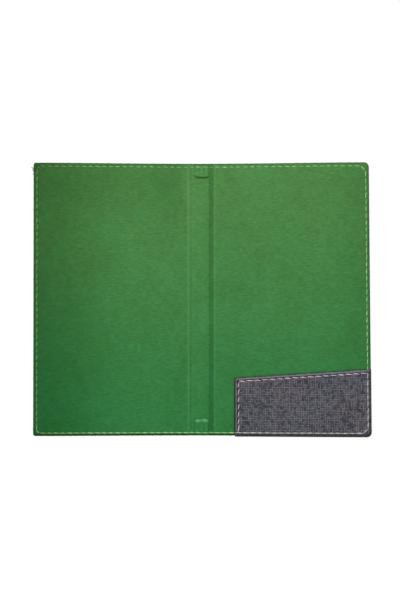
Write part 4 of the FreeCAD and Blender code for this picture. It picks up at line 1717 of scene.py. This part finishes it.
@dataclass(frozen=True)
class Board:
    """A thin stiff board between shell and lining, pared down towards its edges."""

    name: str
    node: str
    body: str
    form: CoverForm
    finishes: Finishes
    lining_thick: float = 0.6
    air: float = 0.03
    thinnest: float = 0.1
    step: float = 3.0
    edge_step: float = 0.9
    edge_zone: float = 8.0
    edge_share: float = 0.4  # of a narrow board's width

    def build(self) -> bpy.types.Object:
        """Builds the board under the lining's back."""
        low, high = node_box(self.node)
        zone = min(self.edge_zone, (high[0] - low[0]) * self.edge_share)
        across, along = (
            lines(
                (a, a + zone, self.edge_step), (a + zone, b - zone, self.step),
                (b - zone, b, self.edge_step),
            )
            for a, b in zip(low[:2], high[:2])
        )
        form, layout = self.form, self.form.layout

        def shape(x: Array, y: Array, level: Array) -> Array:
            """Places the board's points."""
            bottom = np.full(x.shape, layout.shell_top + self.air)
            under = form.lining_back(x, y, self.lining_thick) - self.air
            top = np.maximum(np.minimum(layout.board_top, under), bottom + self.thinnest)
            return form.settle(x, y, bottom + (top - bottom) * level)

        mesh = SheetMesh(self.name, across, along).build(shape)
        piece = put_in_scene(self.name, mesh, [self.finishes.board, self.finishes.board])
        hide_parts(self.node)
        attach(piece, self.body)
        return piece


@dataclass(frozen=True)
class SpineTab:
    """A reinforcing tab of the lining's leather, sewn into one end of the spine."""

    name: str
    node: str
    end: int  # 1 at the head, -1 at the tail
    form: CoverForm
    plan: SeamPlan
    finishes: Finishes
    thick: float = 0.55
    air: float = 0.02
    wider: float = 0.1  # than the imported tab, on each side
    pillow: float = 0.12
    pillow_run: Ramp = Ramp(0.0, 1.6)
    edge_round: float = 0.1
    edge_round_run: Ramp = Ramp(0.0, 0.4)
    curl: float = 0.2  # the free end has come up by this much
    curl_under: float = 0.6
    curl_share: float = 0.5  # of the tab's length
    pleat: float = 0.07
    # painted light on the pleats' crowns and painted shade in their hollows
    pleat_painted_light: float = 0.12
    pleat_width: float = 2.7
    pleats: Band = Band(3.2, 2.6, 1.0)  # by the distance from the cover's edge
    corner: float = 1.0
    step: float = 0.22
    tone: float = 1.02
    # painted highlight along the tail tab's curled free end
    painted_highlight: Band = Band(0.6, 1.15, 0.5)
    highlight_width: float = 4.1
    highlight_shift: float = 0.2
    highlight_waves: tuple[float, float] = (0.72, 0.28)
    sewn_dark: float = 0.5
    sewn_edge: Ramp = Ramp(0.2, 0.9)

    def folds(self, x: Array, y: Array) -> Array:
        """The pleats that the seam draws up, from -1 to 1."""
        sewn = self.pleats.at(self.form.layout.half_height - np.abs(y))
        return sewn * np.cos(2.0 * math.pi * x / self.pleat_width)

    def build(self) -> bpy.types.Object:
        """Builds the tab on the lining, scalloped where the seam crosses it."""
        low, high = node_box(self.node)
        half = float(high[0]) + self.wider
        near, far = (low[1], high[1]) if self.end > 0 else (high[1], low[1])
        length = abs(far - near)
        form = self.form
        seam = Seam(
            self.plan.edge(Side.BACK)[:3], depth=0.28, hole_depth=0.3, width=0.5, pucker=0.0
        )

        def turn_corners(x: Array, y: Array) -> tuple[Array, Array]:
            """Draws the free end's corners in to arcs."""
            inner = half - self.corner
            u = np.clip((np.abs(x) - inner) / self.corner, 0.0, 1.0)
            v = np.clip((self.corner - np.abs(y - near)) / self.corner, 0.0, 1.0)
            turned = (u > 0.0) & (v > 0.0)
            disc_x = inner + self.corner * u * np.sqrt(1.0 - v**2 / 2.0)
            disc_y = self.corner * (1.0 - v * np.sqrt(1.0 - u**2 / 2.0))
            new_x = np.where(turned, np.sign(x) * disc_x, x)
            return new_x, np.where(turned, near + self.end * disc_y, y)

        def shape(x: Array, y: Array, level: Array) -> Array:
            """Places the tab's points."""
            x, y = turn_corners(x, y)
            share = np.clip(np.abs(far - y) / length, 0.0, 1.0)
            lean = (self.end * form.tab_edge(self.end, x) - near) * smooth(share)
            inside = np.minimum(half - np.abs(x), np.abs(y - near))
            curl = self.curl * Ramp(0.0, self.curl_share * length).down(np.abs(y - near))
            bottom = form.lining(x, y) + self.air + curl * self.curl_under
            top = bottom + self.thick + self.pillow * self.pillow_run.up(inside)
            top += curl * (1.0 - self.curl_under) + self.pleat * self.folds(x, y)
            top -= seam.press(np.abs(x), -np.abs(y))
            top -= self.edge_round * self.edge_round_run.down(inside)
            return form.settle(x, y + lean, bottom + (top - bottom) * level)

        def tone(x: Array, y: Array) -> Array:
            """Painted highlight along the tail's free end, painted light and shade on the pleats,
            and darker towards the sewn end.
            """
            painted_highlight = 0.0
            if self.end < 0:
                level, wave = self.highlight_waves
                turn = 2.0 * math.pi * (x + self.highlight_shift) / self.highlight_width
                painted_highlight = (level - wave * np.cos(turn)) * self.painted_highlight.at(np.abs(y - near))
            sewn = 1.0 - self.sewn_dark * self.sewn_edge.down(np.abs(far - y))
            return (self.tone + painted_highlight + self.pleat_painted_light * self.folds(x, y)) * sewn

        across = lines((-half, half, self.step))
        along = lines((min(near, far), max(near, far), self.step))
        mesh = SheetMesh(self.name, across, along).build(shape, tone)
        piece = put_in_scene(self.name, mesh, [self.finishes.leather, self.finishes.leather])
        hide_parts(self.node)
        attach(piece, "spine")
        return piece


@dataclass(frozen=True)
class CornerPocket:
    """The pocket on the back cover: one cloth with a turned side and a turned mouth.

    Ramps and bands run inwards from the sewn side, the mouth or the cover's edge.
    """

    form: CoverForm
    plan: SeamPlan
    finishes: Finishes
    flat: tuple[float, float] = (86.5, 43.1)  # the cloth with its hems unfolded
    flat_area: float = 3503.0
    cloth: float = 0.5
    thinnest: float = 0.25
    side_hem: float = 0.62  # what the turned layers add at the sewn side
    mouth_hem: float = 0.42
    hem_end: Ramp = Ramp(4.0, 3.0)
    pressed_hem: float = 0.45  # what the cover's edge seam leaves of it
    pressed_run: Ramp = Ramp(1.5, 3.0)
    fold_round: float = 0.55
    fold_height: float = 0.45
    air: float = 0.02
    slack: float = 0.42
    slack_side: Ramp = Ramp(3.0, 12.0)
    slack_edge: Ramp = Ramp(3.0, 10.0)
    gape: float = 0.3
    gape_run: Ramp = Ramp(0.0, 14.0)
    over_tail: float = 0.55  # the cloth hangs this far over the cover's edge
    over_fore: float = 0.12
    over_run: Ramp = Ramp(0.0, 0.9)
    over_zone: float = 3.0
    over_bottom: float = 0.55
    over_top: float = 0.42
    bulge: float = 0.12
    fine_step: float = 0.24
    edge_step: float = 0.26
    panel_step: float = 0.74
    side_zone: float = 4.2
    edge_zone: float = 4.6
    corner_zone: float = 5.0
    mouth_turn: Ramp = Ramp(0.0, 0.8)
    # painted highlight on the turned folds, painted shade in the groove beside their seams, on
    # their turned-under rims and along the cover's edge
    pale: Band = Band(0.62, 0.38, 1.0)
    side_painted_highlight: float = 0.55
    dark: Band = Band(1.3, 0.46, 0.68)
    fold_painted_shade: Ramp = Ramp(0.0, 0.5)
    side_fold_painted_shade: float = 0.7
    mouth_fold_painted_shade: float = 0.2
    edge_painted_shade: float = 0.62
    edge_painted_shade_run: Ramp = Ramp(0.5, 1.1)

    def from_sides(self, x: Array, y: Array) -> tuple[Array, Array, Array]:
        """Measures from places on the pocket to its sides.

        Args:
            x: places across the cover.
            y: places along it.

        Returns:
            How far each is from the sewn side, the mouth and the cover's edge.
        """
        left = x - self.form.layout.pocket_left
        mouth = (self.plan.mouth(x) - y) * self.plan.mouth_lean()
        return left, mouth, self.form.edge_distance(x, y)

    def gap(self, x: Array, y: Array) -> Array:
        """The slot under the cloth.

        Args:
            x: places across the cover.
            y: places along it.

        Returns:
            The slot's height at each place.
        """
        left, mouth, inside = self.from_sides(x, y)
        free = self.slack_side.up(left) * self.slack_edge.up(inside)
        return self.air + free * (self.slack + self.gape * self.gape_run.down(mouth))

    def thickness(self, x: Array, y: Array) -> Array:
        """The cloth with its hems, without seams or rounded folds.

        Args:
            x: places across the cover.
            y: places along it.

        Returns:
            Its thickness at each place.
        """
        left, mouth, inside = self.from_sides(x, y)
        side, top = self.hem_end.down(left), self.hem_end.down(mouth)
        hem = np.maximum(self.side_hem * side, self.mouth_hem * top)
        kept = self.pressed_hem + (1.0 - self.pressed_hem) * self.pressed_run.up(inside)
        return self.cloth + hem * kept

    def top(self, x: Array, y: Array) -> Array:
        """The height of the cloth's face, without what its seams press into it."""
        return self.form.lining(x, y) + self.gap(x, y) + self.thickness(x, y)

    def tone(self, x: Array, y: Array) -> Array:
        """Paints highlights on the folds, and paints shade beside their seams, on their
        turned-under rims and along the cover's edge.

        Args:
            x: places across the cover.
            y: places along it.

        Returns:
            How light the cloth is at each place.
        """
        left, mouth, inside = self.from_sides(x, y)
        fold = np.minimum(left, mouth)
        at_mouth = self.mouth_turn.up(left - mouth)
        pale = (self.side_painted_highlight + (1.0 - self.side_painted_highlight) * at_mouth) * self.pale.at(fold)
        rounded = self.side_fold_painted_shade + (self.mouth_fold_painted_shade - self.side_fold_painted_shade) * at_mouth
        tone = 1.0 + pale - self.dark.at(fold) - rounded * self.fold_painted_shade.down(fold)
        return tone * (1.0 - self.edge_painted_shade * self.edge_painted_shade_run.down(inside))

    def build_cloth(self) -> bpy.types.Object:
        """Builds the pocket's cloth."""
        form, plan, layout, zone = self.form, self.plan, self.form.layout, self.edge_zone
        left, right, tail = layout.pocket_left, layout.fore_edge, -layout.half_height
        height = float(plan.mouth(np.array(right)) - tail)
        seams = (
            Seam(plan.edge(Side.BACK), depth=0.24, hole_depth=0.2, width=0.5),
            Seam(plan.pocket_side(), depth=0.3, hole_depth=0.25, width=0.55, pucker=0.09),
            Seam(plan.pocket_mouth(), depth=0.3, hole_depth=0.25, width=0.55, pucker=0.09),
        )

        def ground(x: Array, v: Array) -> tuple[Array, Array]:
            """Places on the cover for places across and up the pocket's grid."""
            stretch = (plan.mouth(x) - tail - zone) / (height - zone)
            y = tail + np.minimum(v, zone) + np.maximum(v - zone, 0.0) * stretch
            round_x, round_y = form.rounded(x, y, 0.0)
            in_corner = x > right - self.corner_zone
            return np.where(in_corner, round_x, x), np.where(in_corner, round_y, y)

        def shape(x: Array, v: Array, level: Array) -> Array:
            """Places the pocket's points."""
            x, y = ground(x, v)
            from_left, from_mouth, inside = self.from_sides(x, y)
            bottom = form.lining(x, y) + self.gap(x, y)
            fold = np.clip(np.minimum(from_left, from_mouth) / self.fold_round, 0.0, 1.0)
            arc = np.sqrt(np.clip(1.0 - (1.0 - fold) ** 2, 0.0, 1.0))
            fullness = self.fold_height + (1.0 - self.fold_height) * arc
            top = bottom + self.thickness(x, y) * fullness
            for seam in seams:
                top -= seam.press(x, y)
            past = self.over_run.down(inside)
            bottom -= self.over_bottom * past
            top = np.maximum(top - self.over_top * past, bottom + self.thinnest)
            bulge = self.bulge * rim(level)
            out_x = np.where(x > right - self.over_zone, self.over_fore, 0.0)
            out_y = np.where(y < tail + self.over_zone, self.over_tail, 0.0)
            x = x + past * out_x - bulge * (from_left < 0.01)
            y = y - past * out_y + bulge * (from_mouth < 0.01)
            return form.settle(x, y, bottom + (top - bottom) * level)

        def tone(x: Array, v: Array) -> Array:
            """Tones the cloth where its points come to lie."""
            return self.tone(*ground(x, v))

        side_end, mouth_start = left + self.side_zone, height - self.side_zone
        across = lines(
            (left, side_end, self.fine_step), (side_end, right - zone, self.panel_step),
            (right - zone, right, self.edge_step),
        )
        along = lines(
            (0.0, zone, self.edge_step), (zone, mouth_start, self.panel_step),
            (mouth_start, height, self.fine_step),
        )
        mesh = SheetMesh("pocket_cloth", across, along).build(shape, tone)
        piece = put_in_scene("pocket_cloth", mesh, [self.finishes.weave, self.finishes.weave])
        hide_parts("pocket_panel")
        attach(piece, "back_cover")
        return piece

    def place_row(
        self, name: str, node: str, mesh: bpy.types.Mesh, finish: bpy.types.Material
    ) -> bpy.types.Object:
        """Shows one of the seams on the pocket.

        Args:
            name: the piece's name.
            node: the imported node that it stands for.
            mesh: its stitches.
            finish: its thread.

        Returns:
            The piece.
        """
        piece = put_in_scene(name, mesh, [finish])
        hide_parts(node)
        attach(piece, "back_cover")
        return piece

    def build_rows(self) -> list[bpy.types.Object]:
        """Sews the pocket's side, its mouth and the cover's edge where it runs over it."""
        plan, rose, grey = self.plan, self.finishes.rose_thread, self.finishes.grey_thread
        side = StitchRow(
            plan.pocket_side(), self.top, gap=0.9, fore_share=1.0, slant=-0.3,
            thread=0.62, sink=0.12, seed=41,
        ).build("pocket_side_thread", self.form)
        mouth = StitchRow(
            plan.pocket_mouth(), self.top, gap=0.4, slant=-0.22,
            thread=0.7, sink=0.12, seed=42,
        ).build("pocket_mouth_thread", self.form)
        edge = StitchRow(
            plan.edge(Side.BACK), self.top, gap=0.5, tail_gap=-0.05, tail_swell=0.0,
            slant=-0.06, thread=0.72, seed=43,
        ).build("edge_thread_pocket", self.form, plan.on_pocket)
        return [
            self.place_row("pocket_side_thread", "pocket_side_stitches", side, rose),
            self.place_row("pocket_mouth_thread", "pocket_mouth_stitches", mouth, rose),
            self.place_row("edge_thread_pocket", "edge_stitches_back_inside", edge, grey),
        ]

    def build(self) -> None:
        """Builds the pocket and its seams."""
        cloth, rows = self.build_cloth(), self.build_rows()
        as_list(rows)


# ------------------------------------------------------------------ the studio


@dataclass(frozen=True)
class Lamp:
    """A square soft box that faces the middle of the cover."""

    name: str
    place: tuple[float, float, float]  # in metres, as its size is
    size: float
    watts: float
    tint: str

    def build(self) -> None:
        """Hangs the lamp."""
        data = bpy.data.lights.new(self.name, "AREA")
        data.shape, data.size, data.energy = "SQUARE", self.size, self.watts
        data.color = linear(self.tint)[:3]
        lamp = bpy.data.objects.new(self.name, data)
        lamp.location = self.place
        lamp.rotation_mode = "QUATERNION"
        lamp.rotation_quaternion = (-Vector(self.place)).to_track_quat("-Z", "Y")
        lamp.visible_camera = False
        bpy.context.scene.collection.objects.link(lamp)


@dataclass(frozen=True)
class Studio:
    """A plain white table under soft light, and a camera nearly straight above."""

    distance: float = 0.95  # lengths are in metres here
    lens: float = 100.3
    pitch: float = 1.2  # degrees towards the tail
    yaw: float = 0.7  # degrees towards the back cover
    aim: tuple[float, float] = (-0.0009, -0.00048)
    clip: tuple[float, float] = (0.01, 50.0)
    floor_reach: float = 8.0
    floor_colour: str = "#F4F4F4"
    floor_drop: float = 0.00002  # keeps it clear of the shell
    floor_white: float = 1.04
    shown_white: float = 0.9
    world_light: float = 0.40
    lamps: tuple[Lamp, ...] = (
        Lamp("key", (-0.55, 1.0, 1.25), 0.8, 17.0, "#FFF6EA"),
        Lamp("fill", (0.9, 0.1, 1.3), 1.2, 5.0, "#FFFFFF"),
    )

    def seen(self, tree: bpy.types.NodeTree) -> bpy.types.NodeSocket:
        """Whether a ray comes from the camera, straight or by a reflection."""
        path = add(tree, "ShaderNodeLightPath").outputs
        both = Pattern(tree).maths("ADD", path["Is Camera Ray"], path["Is Glossy Ray"])
        inputs = {0: both, 1: path["Is Transmission Ray"]}
        return add(tree, "ShaderNodeMath", inputs, operation="ADD", use_clamp=True).outputs[0]

    def build_floor(self) -> None:
        """A pale table top that stays white and keeps a faint shadow. It can be seen
        through from below."""
        material, tree = new_material("matt white table")
        paper = add(tree, "ShaderNodeBsdfDiffuse", {"Color": linear(self.floor_colour)})
        white = add(tree, "ShaderNodeEmission", {"Strength": self.floor_white})
        share = Pattern(tree).maths("MULTIPLY", self.seen(tree), self.shown_white)
        top = add(
            tree, "ShaderNodeMixShader", {0: share, 1: paper.outputs[0], 2: white.outputs[0]}
        )
        clear = add(tree, "ShaderNodeBsdfTransparent")
        under = add(tree, "ShaderNodeNewGeometry").outputs["Backfacing"]
        both = add(
            tree, "ShaderNodeMixShader", {0: under, 1: top.outputs[0], 2: clear.outputs[0]}
        )
        add(tree, "ShaderNodeOutputMaterial", {"Surface": both.outputs[0]})
        table = bmesh.new()
        bmesh.ops.create_grid(table, x_segments=1, y_segments=1, size=self.floor_reach)
        bmesh.ops.translate(table, verts=list(table.verts), vec=(0.0, 0.0, -self.floor_drop))
        put_in_scene("floor", write_mesh("floor", table), [material])

    def build_world(self) -> None:
        """Even light from all round, white where the camera looks past the table."""
        world = bpy.data.worlds.new("studio")
        world.use_nodes = True
        tree = world.node_tree
        tree.nodes.clear()
        strength = Pattern(tree).maths(
            "MULTIPLY_ADD", self.seen(tree), 1.0 - self.world_light, self.world_light
        )
        inputs = {"Color": (1.0, 1.0, 1.0, 1.0), "Strength": strength}
        back = add(tree, "ShaderNodeBackground", inputs)
        add(tree, "ShaderNodeOutputWorld", {"Surface": back.outputs[0]})
        bpy.context.scene.world = world

    def build_camera(self) -> None:
        """The camera, a step towards the tail and the back cover from straight above."""
        data = bpy.data.cameras.new("camera")
        data.lens, (data.clip_start, data.clip_end) = self.lens, self.clip
        camera = bpy.data.objects.new("camera", data)
        pitch, yaw = math.radians(self.pitch), math.radians(self.yaw)
        away = Vector((math.sin(yaw), -math.sin(pitch), 1.0)).normalized()
        camera.location = Vector((*self.aim, 0.0)) + away * self.distance
        camera.rotation_mode = "QUATERNION"
        side = Vector((0.0, 1.0, 0.0)).cross(away).normalized()
        turn = np.column_stack((side, away.cross(side), away))
        camera.rotation_quaternion = Matrix(turn.tolist()).to_quaternion()
        bpy.context.scene.collection.objects.link(camera)
        bpy.context.scene.camera = camera

    def build(self) -> None:
        """Builds the table, the light and the camera."""
        self.build_camera()
        self.build_floor()
        self.build_world()
        for lamp in self.lamps:
            lamp.build()
        bpy.context.scene.view_settings.view_transform = "Standard"


def main() -> None:
    """Builds the studio and the cover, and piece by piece."""
    logging.basicConfig(level=logging.INFO, format="%(name)s: %(message)s")
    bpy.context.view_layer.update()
    layout = Layout.read(frame["joints"])
    form, plan = CoverForm(layout), SeamPlan(layout)
    Studio().build()
    finishes = Finishes.make()
    tabs = [
        SpineTab("tab_head", "head_tab", 1, form, plan, finishes).build(),
        SpineTab("tab_tail", "tail_tab", -1, form, plan, finishes).build(),
    ]
    CoverHalf(Side.FRONT, form, plan, finishes).build()
    CoverHalf(Side.BACK, form, plan, finishes).build(tabs)
    Board("board_front", "front_board", "front_cover", form, finishes).build()
    Board("board_back", "back_board", "back_cover", form, finishes).build()
    Board("board_spine", "spine_board", "spine", form, finishes).build()
    CornerPocket(form, plan, finishes).build()


if __name__ == "__main__":
    main()
